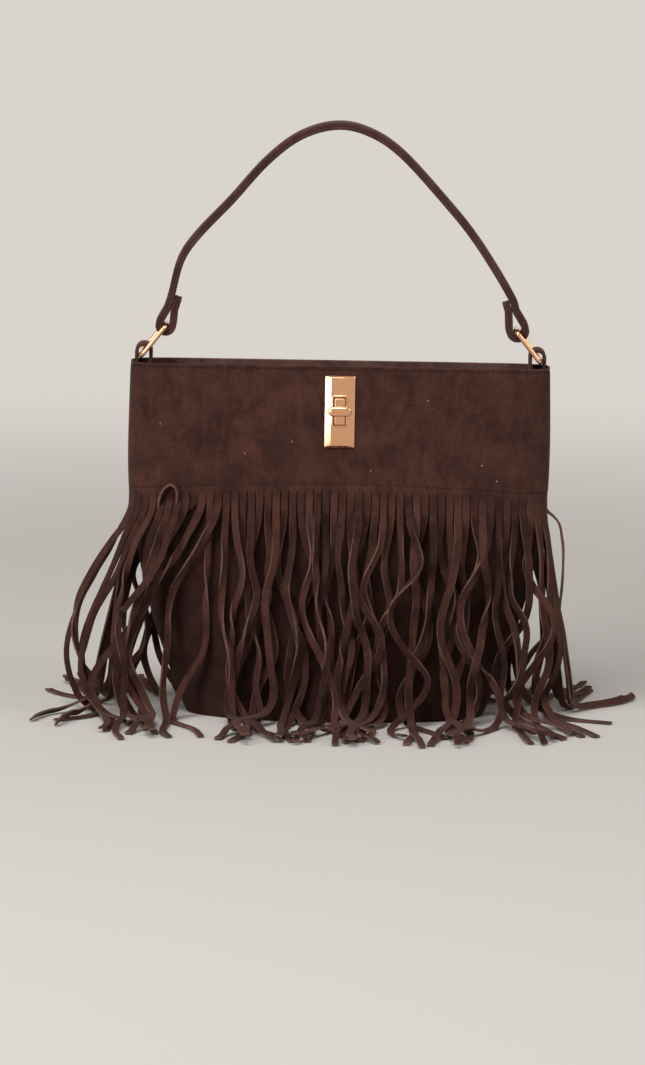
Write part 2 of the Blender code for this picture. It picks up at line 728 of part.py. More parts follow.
class Lock:
    """Adds boxes and rods in the lock's frame."""

    def __init__(self, parts, cutters, metal):
        self.parts = parts
        self.cutters = cutters
        self.metal = metal
        self.frame = lock_frame()
        self.depth = lock_depths()

    def place(self, obj):
        obj.matrix_world = self.frame
        return obj

    def box(self, name, width, length, start, end, height=0.0, cutter=False):
        mesh = box_mesh(name, (width, end - start, length), (0.0, (start + end) / 2, height))
        return self.add(name, mesh, cutter)

    def rod(self, name, radius, start, end, cutter=False):
        return self.add(name, rod_mesh(name, radius, start, end), cutter)

    def add(self, name, mesh, cutter):
        if cutter:
            return make_cutter(self.place(add_object(name, mesh, self.cutters, None)))
        return self.place(add_object(name, mesh, self.parts, self.metal))

    def prongs(self, name, carrier, reach, start, bend):
        """Two prongs at a reach above and below the middle, folded over at a depth."""
        for side, label in ((1, "upper"), (-1, "lower")):
            stem_end = bend + PRONG_THICK
            middle = side * (reach - (PRONG_FOLD - PRONG_THICK) / 2)
            stem = (f"{name} {label} stem", PRONG_WIDTH, PRONG_THICK, start, stem_end, side * reach)
            fold = (f"{name} {label} fold", PRONG_WIDTH, PRONG_FOLD, bend, stem_end, middle)
            unite(carrier, self.box(*stem, cutter=True))
            unite(carrier, self.box(*fold, cutter=True))

    def prong_holes(self, name, reach, start, end):
        size = PRONG_THICK + 2 * METAL_GAP
        width = PRONG_WIDTH + 2 * METAL_GAP
        return [
            self.box(f"{name} {side}", width, size, start, end, side * reach, cutter=True)
            for side in (1, -1)
        ]


def make_lock_plate(lock):
    """The face plate: long sides bevelled wide and low, a raised rim round the slot."""
    front, back = lock.depth["plate"], -METAL_GAP
    plate = lock.box("lock_plate", PLATE_WIDTH, PLATE_LENGTH, front, back)
    for vertex in plate.data.vertices:
        if vertex.co.y < (front + back) / 2:
            vertex.co.x -= np.sign(vertex.co.x) * PLATE_BEVEL
            vertex.co.z -= np.sign(vertex.co.z) * SLOT_RIM
    edge = back - PLATE_EDGE
    flange = lock.box("plate flange", PLATE_WIDTH, PLATE_LENGTH, edge, back, cutter=True)
    rim_width, rim_length = SLOT_WIDTH + 2 * SLOT_RIM, SLOT_LENGTH + 2 * SLOT_RIM
    rim = lock.box("slot rim", rim_width, rim_length, front - SLOT_RIM_RISE, edge, cutter=True)
    round_edges(rim, RIM_ROUND)
    slot_front = front - CUT_MARGIN
    slot = lock.box("plate slot", SLOT_WIDTH, SLOT_LENGTH, slot_front, CUT_MARGIN, cutter=True)
    unite(plate, flange)
    unite(plate, rim)
    lock.prongs("plate prong", plate, PRONG_REACH, back - PLATE_EDGE / 2, lock.depth["prong_bend"])
    subtract(plate, [slot])
    return plate


def make_counter_plate(lock, name, width, length, start, holes):
    plate = lock.box(name, width, length, start, start + COUNTER_THICK)
    round_edges(plate, COUNTER_ROUND)
    subtract(plate, holes)
    return plate


def make_male_half(lock):
    """A small plate with the block that fills the slot, bored for the spindle."""
    start = lock.depth["male"]
    base = lock.box("lock_base", MALE_WIDTH, MALE_LENGTH, start, start + COUNTER_THICK)
    width, length = SLOT_WIDTH - 2 * BLOCK_CLEARANCE, SLOT_LENGTH - 2 * BLOCK_CLEARANCE
    face = lock.depth["plate"]
    block = lock.box("lock block", width, length, face, start + COUNTER_THICK / 2, cutter=True)
    unite(base, block)
    bend = lock.depth["male_bend"]
    lock.prongs("male prong", base, MALE_PRONG_REACH, start + COUNTER_THICK / 2, bend)
    bore_radius = SPINDLE_RADIUS + SPINDLE_CLEARANCE
    bore_start = face - CUT_MARGIN
    bore = lock.rod("spindle bore", bore_radius, bore_start, lock.depth["end"], cutter=True)
    subtract(base, [bore])
    return base, bore


def make_toggle(lock):
    """The turning bar with its spindle, its origin on the lock's axis."""
    back = lock.depth["plate"] - SLOT_RIM_RISE - METAL_GAP
    bar_mesh = box_mesh(
        "toggle bar",
        (TOGGLE_LENGTH, TOGGLE_THICK, TOGGLE_WIDTH),
        (0.0, back - TOGGLE_THICK / 2, 0.0),
    )
    toggle = lock.add("lock_toggle", bar_mesh, cutter=False)
    round_edges(toggle, TOGGLE_ROUND, segments=2)
    inside_bar = back - TOGGLE_THICK / 2
    spindle = lock.rod("spindle", SPINDLE_RADIUS, inside_bar, lock.depth["end"], cutter=True)
    unite(toggle, spindle)
    return toggle


def washer(lock, name, start, radius):
    """A thin ring round the spindle."""
    ends = (start - CUT_MARGIN, start + CLIP_THICK + CUT_MARGIN)
    bore = lock.rod(name + " bore", SPINDLE_RADIUS + LAYER_GAP, *ends, cutter=True)
    ring = lock.rod(name, radius, start, start + CLIP_THICK)
    subtract(ring, [bore])
    return ring


def tongue_path(lock):
    """The tongue's middle line, seen from the right: down the back wall, over the
    mouth under the rim, and down behind the lock."""
    depth = lock.depth["tongue"] + TONGUE_THICK / 2
    front_foot = lock.frame @ Vector((0.0, depth, -TONGUE_DROP))
    front_head = lock.frame @ Vector((0.0, depth, TONGUE_HEAD))
    crown = BODY_HEIGHT - TONGUE_TOP - TONGUE_THICK / 2
    back_foot_z = LOCK_HEIGHT - TONGUE_DROP
    back_head_z = front_head.z

    def back_y(height):
        inside = wall_depth(0.0, height, WALL_IN) + SEAM_GAP / 2
        return inside - LAYER_GAP - TONGUE_THICK / 2

    back_head = (back_y(back_head_z), back_head_z)
    span = back_head[0] - front_head.y
    knots = [
        (back_y(back_foot_z), back_foot_z),
        back_head,
        (front_head.y + 0.80 * span, crown - 0.22 * (crown - back_head_z)),
        (front_head.y + 0.50 * span, crown),
        (front_head.y + 0.20 * span, crown - 0.22 * (crown - back_head_z)),
        (front_head.y, front_head.z),
        (front_foot.y, front_foot.z),
    ]
    return smooth_path(knots[1:-1], 3), knots[0], knots[-1]


def make_tongue(lock, collection, material, holes):
    curve, first, last = tongue_path(lock)
    path = np.vstack([[first], curve, [last]])

    def seen_from_right(step, offset):
        return (offset, step[0], step[1])

    tongue = strap(
        "closure_tongue", path, TONGUE_WIDTH, TONGUE_THICK, seen_from_right, collection, material
    )
    subtract(tongue, holes)
    return tongue


def make_lock(parts, cutters, suede, brass, panels):
    """The turn lock and the tongue that carries its male half. It cuts the wall."""
    lock = Lock(parts, cutters, brass)
    depth = lock.depth
    front, deep = -CUT_MARGIN, depth["male"]
    slot_size = (SLOT_WIDTH + 2 * LAYER_GAP, SLOT_LENGTH + 2 * LAYER_GAP)
    wall_slot = lock.box("wall slot", *slot_size, front, deep, cutter=True)
    plate_holes = lock.prong_holes("plate prong hole", PRONG_REACH, front, deep)
    make_lock_plate(lock)
    margin = 2 * COUNTER_MARGIN
    make_counter_plate(
        lock,
        "lock_back_plate",
        PLATE_WIDTH - margin,
        PLATE_LENGTH - margin,
        depth["counter"],
        [wall_slot, *plate_holes],
    )
    for panel in panels:
        subtract(panel, [wall_slot, *plate_holes])
    _, bore = make_male_half(lock)
    male_holes = lock.prong_holes(
        "male prong hole", MALE_PRONG_REACH, depth["male"] + COUNTER_THICK, depth["end"]
    )
    backing_length = MALE_LENGTH + COUNTER_MARGIN
    make_counter_plate(
        lock, "lock_backing", MALE_WIDTH, backing_length, depth["backing"], [bore, *male_holes]
    )
    make_toggle(lock)
    washer(lock, "lock_washer", depth["washer"], SPINDLE_RADIUS + 2 * CLIP_WIDTH)
    washer(lock, "lock_clip", depth["clip"], SPINDLE_RADIUS + CLIP_WIDTH)
    make_tongue(lock, parts, suede, [bore, *male_holes])


def cut_facings(facings, cutters):
    """Notches at the side seam where the tabs' ends are sewn in."""
    centre_x, _ = tab_centre()
    foot = BODY_HEIGHT - TAB_DEPTH - 2 * LAYER_GAP
    width = STRAP_WIDTH + 4 * LAYER_GAP
    height = BODY_HEIGHT + CUT_MARGIN - foot
    for side, label in ((-1, "left"), (1, "right")):
        size = (TOP_WIDTH / 4, width, height)
        place = (side * (centre_x + TOP_WIDTH / 8), 0.0, foot + height / 2)
        mesh = box_mesh(f"tab notch {label}", size, place)
        notch = make_cutter(add_object(mesh.name, mesh, cutters, None))
        for facing in facings:
            subtract(facing, [notch])


def main():
    clear_scene()
    parts = bpy.data.collections.new("fringed_suede_bag")
    cutters = bpy.data.collections.new("cutters")
    for collection in (parts, cutters):
        bpy.context.scene.collection.children.link(collection)

    suede = make_material("brown suede", (0.075, 0.035, 0.030), 0.92)
    lining_cloth = make_material("lining twill", (0.085, 0.055, 0.040), 0.80)
    board = make_material("base board", (0.20, 0.14, 0.09), 0.85)
    brass = make_material("pale brass", (0.85, 0.60, 0.33), 0.18, metallic=1.0)

    outline_plate("base_panel", 0.0, SUEDE_THICK, WALL_OUT, parts, suede)
    board_top = PANEL_FOOT + BOARD_THICK
    outline_plate("base_board", PANEL_FOOT, board_top, LINING_OUT, parts, board)
    make_lining(parts, lining_cloth)

    panel_heights = heights_between(PANEL_FOOT, PANEL_TOP)
    facing_heights = heights_between(FACING_FOOT, BODY_HEIGHT)
    sheets = {}
    for side, label, ends, seed in ((1, "front", FRONT_ENDS, 5), (-1, "back", BACK_ENDS, 8)):
        wall_sheet(f"{label}_panel", panel_heights, WALL_MID, side, parts, suede)
        facing = wall_sheet(f"{label}_facing", facing_heights, WALL_MID, side, parts, suede)
        yoke = fringe_panel(f"{label}_fringe_panel", side, ends, seed, parts, suede)
        sheets[label] = (facing, yoke)
    cut_facings([facing for facing, _ in sheets.values()], cutters)

    for side, label in ((-1, "left"), (1, "right")):
        make_tab(f"tab_{label}", side, parts, suede)
        make_ring(f"ring_{label}", side, parts, brass)
    make_handle(parts, suede)
    make_lock(parts, cutters, suede, brass, sheets["front"])


main()
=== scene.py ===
# %% [markdown]
# # Fringed suede bag
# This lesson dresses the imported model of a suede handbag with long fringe. The packed
# solids are the frame: they say where every piece sits and how it moves. Each soft solid
# is replaced here by a finer surface of the same form. Lengths are in millimetres, the
# unit a bag maker thinks in, until a mesh is made.

# %% Load the frame
import json
from math import atan2, cos, pi, radians, sin

import bpy
import numpy as np
from mathutils import Matrix


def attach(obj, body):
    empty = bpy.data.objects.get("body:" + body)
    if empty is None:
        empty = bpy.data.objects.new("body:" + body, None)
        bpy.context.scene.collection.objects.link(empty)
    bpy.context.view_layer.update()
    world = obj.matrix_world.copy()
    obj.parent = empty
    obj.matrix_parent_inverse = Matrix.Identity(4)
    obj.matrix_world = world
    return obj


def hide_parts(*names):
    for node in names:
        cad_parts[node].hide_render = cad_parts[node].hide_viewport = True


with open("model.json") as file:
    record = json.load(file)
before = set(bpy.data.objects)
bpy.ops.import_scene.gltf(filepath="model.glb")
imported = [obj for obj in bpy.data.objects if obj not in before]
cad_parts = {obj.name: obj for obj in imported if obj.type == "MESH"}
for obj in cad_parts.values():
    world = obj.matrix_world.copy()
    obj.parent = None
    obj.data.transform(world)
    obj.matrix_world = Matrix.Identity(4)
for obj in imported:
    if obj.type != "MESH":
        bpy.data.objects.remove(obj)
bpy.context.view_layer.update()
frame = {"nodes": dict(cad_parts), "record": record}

MM = 0.001

# %% [markdown]
# ## Camera
# The photograph looks down on the bag by about ten degrees from three and a half metres
# away, with a long lens, so its upright lines stay nearly parallel. A camera can be placed
# by eye, but these numbers come from fitting known corners of the bag to where they
# appear, which leaves the proportions nothing to hide behind.

# %% Camera at the photograph's place
PHOTO_HEIGHT = 1065
CAMERA_PLACE = (-0.018, -3.5, 0.7456)
CAMERA_YAW, CAMERA_PITCH, CAMERA_ROLL = radians(0.132), radians(10.11), radians(0.993)
FOCAL_PIXELS = 5352.6


def make_camera():
    """A camera whose long image side is 36 mm tall, turned by yaw, pitch and roll."""
    data = bpy.data.cameras.new("camera")
    data.sensor_fit = "VERTICAL"
    data.sensor_height = 36.0
    data.lens = FOCAL_PIXELS / PHOTO_HEIGHT * data.sensor_height
    data.clip_end = 50.0
    camera = bpy.data.objects.new("camera", data)
    bpy.context.scene.collection.objects.link(camera)
    turn = Matrix.Rotation(-CAMERA_YAW, 4, "Z") @ Matrix.Rotation(pi / 2 - CAMERA_PITCH, 4, "X")
    camera.matrix_world = Matrix.Translation(CAMERA_PLACE) @ turn @ Matrix.Rotation(CAMERA_ROLL, 4, "Z")
    bpy.context.scene.camera = camera
    return data.lens


print("lens, mm:", round(make_camera(), 1))

# %% [markdown]
# ## Turning arrays into pieces
# Every new piece below is a surface worked out as whole arrays: a grid of points and the
# four-sided faces between them. One function puts such a grid into a mesh, and another
# applies the modifiers and marks the sharp edges, so that the mesh is final before it is
# tied to the body it moves with.

# %% Grids, meshes and finishing


def grid_quads(rows, columns, wrap_columns=False, wrap_rows=False, flip=False):
    """The faces of a grid of points told row by row. A wrapped grid closes on itself."""
    row, column = np.meshgrid(
        np.arange(rows - (not wrap_rows)), np.arange(columns - (not wrap_columns)), indexing="ij"
    )
    above, beside = (row + 1) % rows, (column + 1) % columns
    corners = ((row, column), (row, beside), (above, beside), (above, column))
    quads = np.stack([(down * columns + along).ravel() for down, along in corners], axis=1)
    return quads[:, ::-1] if flip else quads


def fan(first, count, pole, flip=False):
    """Triangles from a ring of points to the pole that closes it."""
    corners = [[first + k, first + (k + 1) % count, pole] for k in range(count)]
    return [corner[::-1] for corner in corners] if flip else corners


def make_mesh_object(name, points, faces, materials):
    """An object from points in millimetres and faces of any number of corners."""
    mesh = bpy.data.meshes.new(name)
    places = np.asarray(points, float).reshape(-1, 3) * MM
    mesh.from_pydata(places.tolist(), [], [list(face) for face in faces])
    mesh.validate()
    for material in materials:
        mesh.materials.append(material)
    obj = bpy.data.objects.new(name, mesh)
    bpy.context.scene.collection.objects.link(obj)
    return obj


def give_thickness(obj, thickness, edge_slot=0):
    """Thickens a sheet evenly to both sides; its cut edges may take another material."""
    solidify = obj.modifiers.new("thickness", "SOLIDIFY")
    solidify.thickness = thickness * MM
    solidify.offset = 0.0
    solidify.use_even_offset = True
    solidify.material_offset_rim = edge_slot


def weld(obj):
    """Joins points that lie in one place, as where the round corners of a ring meet."""
    obj.modifiers.new("weld", "WELD").merge_threshold = 0.001 * MM
    return obj


def settle(obj, sharp_angle=40):
    """Applies an object's modifiers, then shades it smooth except at sharp edges."""
    evaluated = obj.evaluated_get(bpy.context.evaluated_depsgraph_get())
    mesh = bpy.data.meshes.new_from_object(evaluated)
    obj.modifiers.clear()
    obj.data = mesh
    mesh.name = obj.name
    mesh.shade_smooth()
    mesh.set_sharp_from_angle(angle=radians(sharp_angle))
    return obj


def dress(obj, body, material_slot, *nodes):
    """Ties a finished piece to its body and the nodes it stands for."""
    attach(obj, body)
    if nodes:
        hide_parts(*nodes)
    print(f"{obj.name}: {len(obj.data.polygons)} faces")
    return obj


def ease(value, start, end):
    """A smooth step from 0 at start to 1 at end."""
    share = np.clip((np.asarray(value, float) - start) / (end - start), 0, 1)
    return share * share * (3 - 2 * share)


# %% [markdown]
# ## Colours and shader nodes
# Colours are written as the hex values a screen shows. Blender mixes light in linear
# values, so one function converts them. Another adds a node, sets its options, and gives
# each input either a value or a link, and four short ones put it to its commonest uses.

# %% Colour and node helpers


def linear(hex_colour):
    """An sRGB hex colour as linear red, green, blue and full alpha."""
    channels = [int(hex_colour[start : start + 2], 16) / 255 for start in (1, 3, 5)]
    return (*[c / 12.92 if c <= 0.04045 else ((c + 0.055) / 1.055) ** 2.4 for c in channels], 1.0)


def add_node(tree, kind, options, inputs):
    """A node with its options set and its inputs given values or links."""
    node = tree.nodes.new(kind)
    for name, value in options.items():
        setattr(node, name, value)
    for name, value in inputs.items():
        if isinstance(value, bpy.types.NodeSocket):
            tree.links.new(value, node.inputs[name])
        else:
            node.inputs[name].default_value = value
    return node


def start_material(name):
    """A material: returns it, its tree, its shader and the object's own coordinates."""
    material = bpy.data.materials.new(name)
    material.use_nodes = True
    tree = material.node_tree
    place = add_node(tree, "ShaderNodeTexCoord", {}, {}).outputs["Object"]
    return material, tree, tree.nodes["Principled BSDF"], place


def calculate(tree, operation, *values):
    """One step of arithmetic on values or links."""
    return add_node(tree, "ShaderNodeMath", {"operation": operation}, dict(enumerate(values))).outputs[0]


def noise(tree, place, scale, detail, **inputs):
    """Cloudy noise from 0 to 1, mostly near a half. The scale is in patches a metre."""
    told = {"Vector": place, "Scale": scale, "Detail": detail, **inputs}
    return add_node(tree, "ShaderNodeTexNoise", {}, told).outputs[0]


def paint(tree, shader, factor, low, high):
    """Gives the shader a colour between two, mixed by a factor."""
    options = {"data_type": "RGBA", "clamp_factor": True}
    mix = add_node(tree, "ShaderNodeMix", options, {0: factor, 6: low, 7: high})
    tree.links.new(mix.outputs[2], shader.inputs["Base Color"])


def emboss(tree, shader, height, strength, distance):
    """Gives the shader a bump: a height whose full swing is a distance in metres."""
    told = {"Height": height, "Strength": strength, "Distance": distance}
    bump = add_node(tree, "ShaderNodeBump", {}, told)
    tree.links.new(bump.outputs[0], shader.inputs["Normal"])


# %% [markdown]
# ### Suede
# Suede is the flesh side of a hide, sanded to a short nap of upright fibres. It scatters
# light almost evenly, has no gloss, and shows cloudy patches 8 to 30 mm across wherever a
# hand has brushed the nap one way or the other. The fibres catch light at grazing angles,
# which is what the sheen does. The nap itself is about a tenth of a millimetre, too fine
# to show, so it is drawn at about a millimetre. The walls under the fringe take darker colours
# as painted shade of the strands above them, and the facings take paler colours as painted light.

# %% Suede and its cut edge
SUEDE_DARK, SUEDE_LIGHT = linear("#2c1814"), linear("#503129")
CUT_EDGE_DARK, CUT_EDGE_LIGHT = linear("#472e28"), linear("#7a5a50")
CLOUDS_PER_METRE = 62.0
BRUSH_PER_METRE = 230.0
NAP_PER_METRE = 1000.0


def make_suede(name, dark, light, sheen, tone_strength):
    """Nap of two tones, mixed by clouds and brush marks, each strand with its own tone."""
    material, tree, shader, place = start_material(name)
    brushed = {"Vector": place, "Rotation": (0.0, 0.9, 0.3), "Scale": (1.0, 1.0, 0.22)}
    slanted = add_node(tree, "ShaderNodeMapping", {}, brushed).outputs[0]
    clouds = noise(tree, place, CLOUDS_PER_METRE, 6.0, Roughness=0.62, Distortion=0.3)
    brush = noise(tree, slanted, BRUSH_PER_METRE, 4.0, Roughness=0.6)
    nap = noise(tree, place, NAP_PER_METRE, 2.0, Roughness=0.7)
    tone = add_node(tree, "ShaderNodeAttribute", {"attribute_name": "strand_tone"}, {}).outputs["Fac"]
    spread = {"Value": clouds, "From Min": 0.25, "From Max": 0.75}
    total = add_node(tree, "ShaderNodeMapRange", {}, spread).outputs[0]
    total = calculate(tree, "ADD", total, calculate(tree, "MULTIPLY_ADD", brush, 0.8, -0.4))
    total = calculate(tree, "ADD", total, calculate(tree, "MULTIPLY_ADD", nap, 1.3, -0.65))
    total = calculate(tree, "ADD", total, calculate(tree, "MULTIPLY", tone, tone_strength))
    paint(tree, shader, total, dark, light)
    emboss(tree, shader, nap, 0.35, 0.0004)
    shader.inputs["Roughness"].default_value = 0.95
    shader.inputs["Specular IOR Level"].default_value = 0.15
    shader.inputs["Sheen Weight"].default_value = sheen
    shader.inputs["Sheen Roughness"].default_value = 0.55
    shader.inputs["Sheen Tint"].default_value = linear("#c9a79d")
    return material


suede = make_suede("brown suede", SUEDE_DARK, SUEDE_LIGHT, 0.16, 0.36)
# Painted shade: the walls under the fringe take darker colours that stand for the shadow the strands cast on
# them.
shaded_wall_suede = make_suede("suede darkened as painted shade", linear("#1f100d"), linear("#3a221d"), 0.08, 0.0)
# Painted light: the facings take paler colours, so the inside of the back rim looks lit.
lit_facing_suede = make_suede("suede lightened as painted light", linear("#472f2a"), linear("#7a5850"), 0.30, 0.0)
cut_edge = make_suede("cut edge of suede", CUT_EDGE_DARK, CUT_EDGE_LIGHT, 0.20, 0.15)
strap_suede = make_suede("strap suede", linear("#341e1b"), linear("#563833"), 0.24, 0.0)

# %% [markdown]
# ### Lining twill and board
# The inside is a cotton twill, woven so that the thread crossings step sideways in slanting
# ribs. Real ribs are about 0.6 mm apart. Here they are drawn coarser, about 3 mm apart.
# The wave's phase is 10 * scale * (x + y + z), so its bands lie 2 pi / (10 sqrt(3) scale)
# apart. Under the twill lies a stiff grey-brown board, pressed from fibre, with faint
# speckles.

# %% Twill and board
TWILL_RIB = 2.968 * MM


def make_twill():
    """Slanting ribs across all walls: bands along x + y + z of the object."""
    material, tree, shader, place = start_material("cotton twill")
    bands = {"wave_type": "BANDS", "bands_direction": "DIAGONAL"}
    scale = 2 * pi / (10 * 3**0.5 * TWILL_RIB)
    told = {"Vector": place, "Scale": scale, "Distortion": 0.6, "Detail": 1.0, "Detail Scale": 2.0}
    ribs = add_node(tree, "ShaderNodeTexWave", bands, told).outputs["Fac"]
    paint(tree, shader, ribs, linear("#33241d"), linear("#55402f"))
    emboss(tree, shader, ribs, 0.4, 0.0003)
    shader.inputs["Roughness"].default_value = 0.8
    shader.inputs["Sheen Weight"].default_value = 0.1
    return material


def make_board():
    """Pressed fibre: a plain tone with fine speckles."""
    material, tree, shader, place = start_material("fibre board")
    paint(tree, shader, noise(tree, place, 900.0, 2.0), linear("#6b5a48"), linear("#8d7a63"))
    shader.inputs["Roughness"].default_value = 0.9
    return material


twill = make_twill()
board = make_board()

# %% [markdown]
# ### Brass-plated zinc
# The lock and rings are die-cast zinc, polished and plated with pale brass. Plating follows
# the polished surface, so it mirrors the room with only a little haze, and a faint waviness
# from the polishing wheel. A metal takes its colour from its reflection, so the base colour
# is the tint of the plating.

# %% Plating and thread
PLATING = linear("#e9b188")


def make_plating():
    """Polished plating whose haze varies over a few millimetres."""
    material, tree, shader, place = start_material("brass-plated zinc")
    wear = noise(tree, place, 260.0, 3.0)
    haze = add_node(tree, "ShaderNodeMapRange", {}, {"Value": wear, "To Min": 0.07, "To Max": 0.20})
    tree.links.new(haze.outputs[0], shader.inputs["Roughness"])
    emboss(tree, shader, wear, 0.012, 0.0004)
    shader.inputs["Base Color"].default_value = PLATING
    shader.inputs["Metallic"].default_value = 1.0
    return material


def make_thread():
    """Twisted polyester: dark, and darker still as painted shade of its needle holes, with a soft shine
    broken by its twist.
    """
    material, tree, shader, place = start_material("polyester thread")
    # Painted shade: the thread's own dark brown is pushed to near black to stand for the shade in its needle
    # holes.
    paint(tree, shader, noise(tree, place, 1500.0, 1.0), linear("#080403"), linear("#2f1e1a"))
    shader.inputs["Roughness"].default_value = 0.7
    shader.inputs["Specular IOR Level"].default_value = 0.2
    return material


plating = make_plating()
thread = make_thread()
print("materials:", ", ".join(material.name for material in bpy.data.materials))

# %% [markdown]
# ## The wall of the bag
# The bag is a soft bucket. Seen from above, every level is a superellipse: its width and
# depth follow smooth curves from the narrow oval base, over full shoulders, to the flat
# mouth. Each layer of the wall lies a set distance outside the lining's inner face, so one
# table of places and outward directions serves the lining, the suede walls, the facings and
# the fringe sheet alike.

# %% Sizes of the body
BODY_HEIGHT = 235.0
OUTLINE_WIDTHS = (202.0, 250.0, 291.0, 279.0, 277.0)
OUTLINE_DEPTHS = (76.0, 86.0, 56.0, 31.0)
SUEDE_THICK, LINING_THICK = 1.4, 0.6
LAYER_GAP, SEAM_GAP = 0.3, 0.3
LINING_MID = LINING_THICK / 2
WALL_MID = LINING_THICK + LAYER_GAP + SUEDE_THICK / 2
SHEET_MID = WALL_MID + SUEDE_THICK + 0.5
SHELL = SHEET_MID + SUEDE_THICK / 2
SEAM_HEIGHT, SEAM_ARCH, CUT_BELOW_SEAM = 151.0, 7.5, 4.0
CUT_HEIGHT = SEAM_HEIGHT - CUT_BELOW_SEAM
PANEL_FOOT, PANEL_TOP, FACING_FOOT = 1.7, 167.0, 167.3
LINING_FOOT, LINING_TOP = 4.0, 178.5


def bezier(points, share):
    """A Bezier curve's value at each share, by repeated mixing of its control values."""
    values = [np.full(np.shape(share), float(point)) for point in points]
    while len(values) > 1:
        values = [low + (high - low) * share for low, high in zip(values, values[1:])]
    return values[0]


def outline(height, samples=900):
    """One level of the lining's inner face, from the left seam round the front to the
    right one: half width times cos^(2/p) and half depth times sin^(2/p), and the unit
    outward direction, the slope of the same formula."""
    level = height / BODY_HEIGHT
    half_width = bezier(OUTLINE_WIDTHS, level) / 2 - SHELL
    half_depth = bezier(OUTLINE_DEPTHS, level) / 2 - SHELL
    power = 2.1 + 3.9 * level**2
    angle = pi * (1 - ease(np.linspace(0, 1, samples), 0, 1))
    across = np.sign(np.cos(angle)) * np.abs(np.cos(angle)) ** (2 / power)
    out = np.abs(np.sin(angle)) ** (2 / power)
    out[[0, -1]] = 0.0
    slope_x = np.sign(across) * np.abs(across) ** (power - 1) / half_width
    slope_y = -(out ** (power - 1)) / half_depth
    size = np.hypot(slope_x, slope_y)
    return half_width * across, -half_depth * out, slope_x / size, slope_y / size


# %% [markdown]
# The table has a row for every 2.5 mm of height and 601 places along each row, spaced evenly
# along the fringe sheet's middle line. Reading it between its entries gives any layer, at
# any height, as one array step.

# %% Table of the wall
TABLE_HEIGHTS = np.linspace(0.0, BODY_HEIGHT, 95)
TABLE_SHARES = np.linspace(0.0, 1.0, 601)


def table_row(height):
    """Places and outward directions at even shares of the level's length."""
    x, y, normal_x, normal_y = outline(height)
    x, y = x + SHEET_MID * normal_x, y + SHEET_MID * normal_y
    length = np.concatenate([[0.0], np.cumsum(np.hypot(np.diff(x), np.diff(y)))])
    place = TABLE_SHARES * length[-1]
    return np.stack([np.interp(place, length, values) for values in (x, y, normal_x, normal_y)], axis=1)


WALL = np.stack([table_row(height) for height in TABLE_HEIGHTS])


def read_table(share, height):
    """The table between its entries: a mix of the four nearest, by how near each is."""
    share, height = np.broadcast_arrays(np.asarray(share, float), np.asarray(height, float))
    column = np.clip(share, 0, 1) * (len(TABLE_SHARES) - 1)
    row = np.clip(height / BODY_HEIGHT, 0, 1) * (len(TABLE_HEIGHTS) - 1)
    left = np.minimum(column.astype(int), len(TABLE_SHARES) - 2)
    low = np.minimum(row.astype(int), len(TABLE_HEIGHTS) - 2)
    across, up = (column - left)[..., None], (row - low)[..., None]
    below = WALL[low, left] * (1 - across) + WALL[low, left + 1] * across
    above = WALL[low + 1, left] * (1 - across) + WALL[low + 1, left + 1] * across
    return below * (1 - up) + above * up


print("cut outline, mm:", round(float(np.hypot(*np.diff(WALL[59, :, :2], axis=0).T).sum()), 1))

# %% [markdown]
# Soft suede doesn't stand like sheet metal. Hollows a few centimetres wide are pressed into
# all the layers at once, so that they stay together, and none comes near the lock, whose
# plates hold the wall flat. One sharp crease lies low on the front, left of the middle.

# %% Hollows and the wall's points
# x, height, half width, half height, depth, slant of each hollow
FRONT_HOLLOWS = (
    (-92.0, 206.0, 30.0, 16.0, 1.1, 0.2),
    (72.0, 190.0, 34.0, 20.0, 1.2, -0.2),
    (-60.0, 110.0, 30.0, 26.0, 1.6, 0.0),
    (30.0, 84.0, 36.0, 30.0, 1.8, 0.1),
    (88.0, 60.0, 26.0, 30.0, 1.8, 0.3),
    (-74.0, 33.0, 26.0, 4.5, 2.0, -0.22),
    (-30.0, 48.0, 26.0, 16.0, 1.2, 0.3),
)
BACK_HOLLOWS = (
    (-78.0, 196.0, 36.0, 20.0, 1.3, 0.2),
    (40.0, 204.0, 40.0, 16.0, 1.0, 0.1),
    (84.0, 176.0, 30.0, 18.0, 1.2, -0.2),
    (60.0, 90.0, 36.0, 30.0, 1.8, 0.1),
    (-66.0, 76.0, 30.0, 34.0, 1.8, -0.1),
    (10.0, 40.0, 40.0, 8.0, 1.6, 0.12),
)
LOCK_HEIGHT = 206.0


def hollow_depth(x, height, front):
    """How far the wall is pressed in: a sum of soft round hollows, none at the lock."""
    depth = np.zeros(np.broadcast(x, height).shape)
    for middle, level, half_width, half_height, deep, slant in FRONT_HOLLOWS if front else BACK_HOLLOWS:
        across = (x - middle) / half_width
        up = (height - level - slant * (x - middle)) / half_height
        depth = depth + deep * np.exp(-(across**2) - up**2)
    lock = np.exp(-((x / 24) ** 4) - ((height - LOCK_HEIGHT) / 34) ** 4)
    return depth * (1 - lock) * ease(BODY_HEIGHT - height, 0, 30) * ease(height, 4, 24)


def wall_points(share, height, distance, front=True, seam_gap=SEAM_GAP):
    """Places of a layer at a distance outside the lining's inner face."""
    row = read_table(share, height)
    height = np.broadcast_to(height, row.shape[:-1])
    shift = distance - SHEET_MID - hollow_depth(row[..., 0], height, front)
    x = row[..., 0] + shift * row[..., 2]
    y = row[..., 1] + shift * row[..., 3] - seam_gap / 2
    return np.stack([x, y if front else -y, height], axis=-1)


def wall_outward(share, height, front=True):
    """The outward directions at the same places."""
    row = read_table(share, height)
    side = 1 if front else -1
    return np.stack([row[..., 2], side * row[..., 3], np.zeros(row.shape[:-1])], axis=-1)
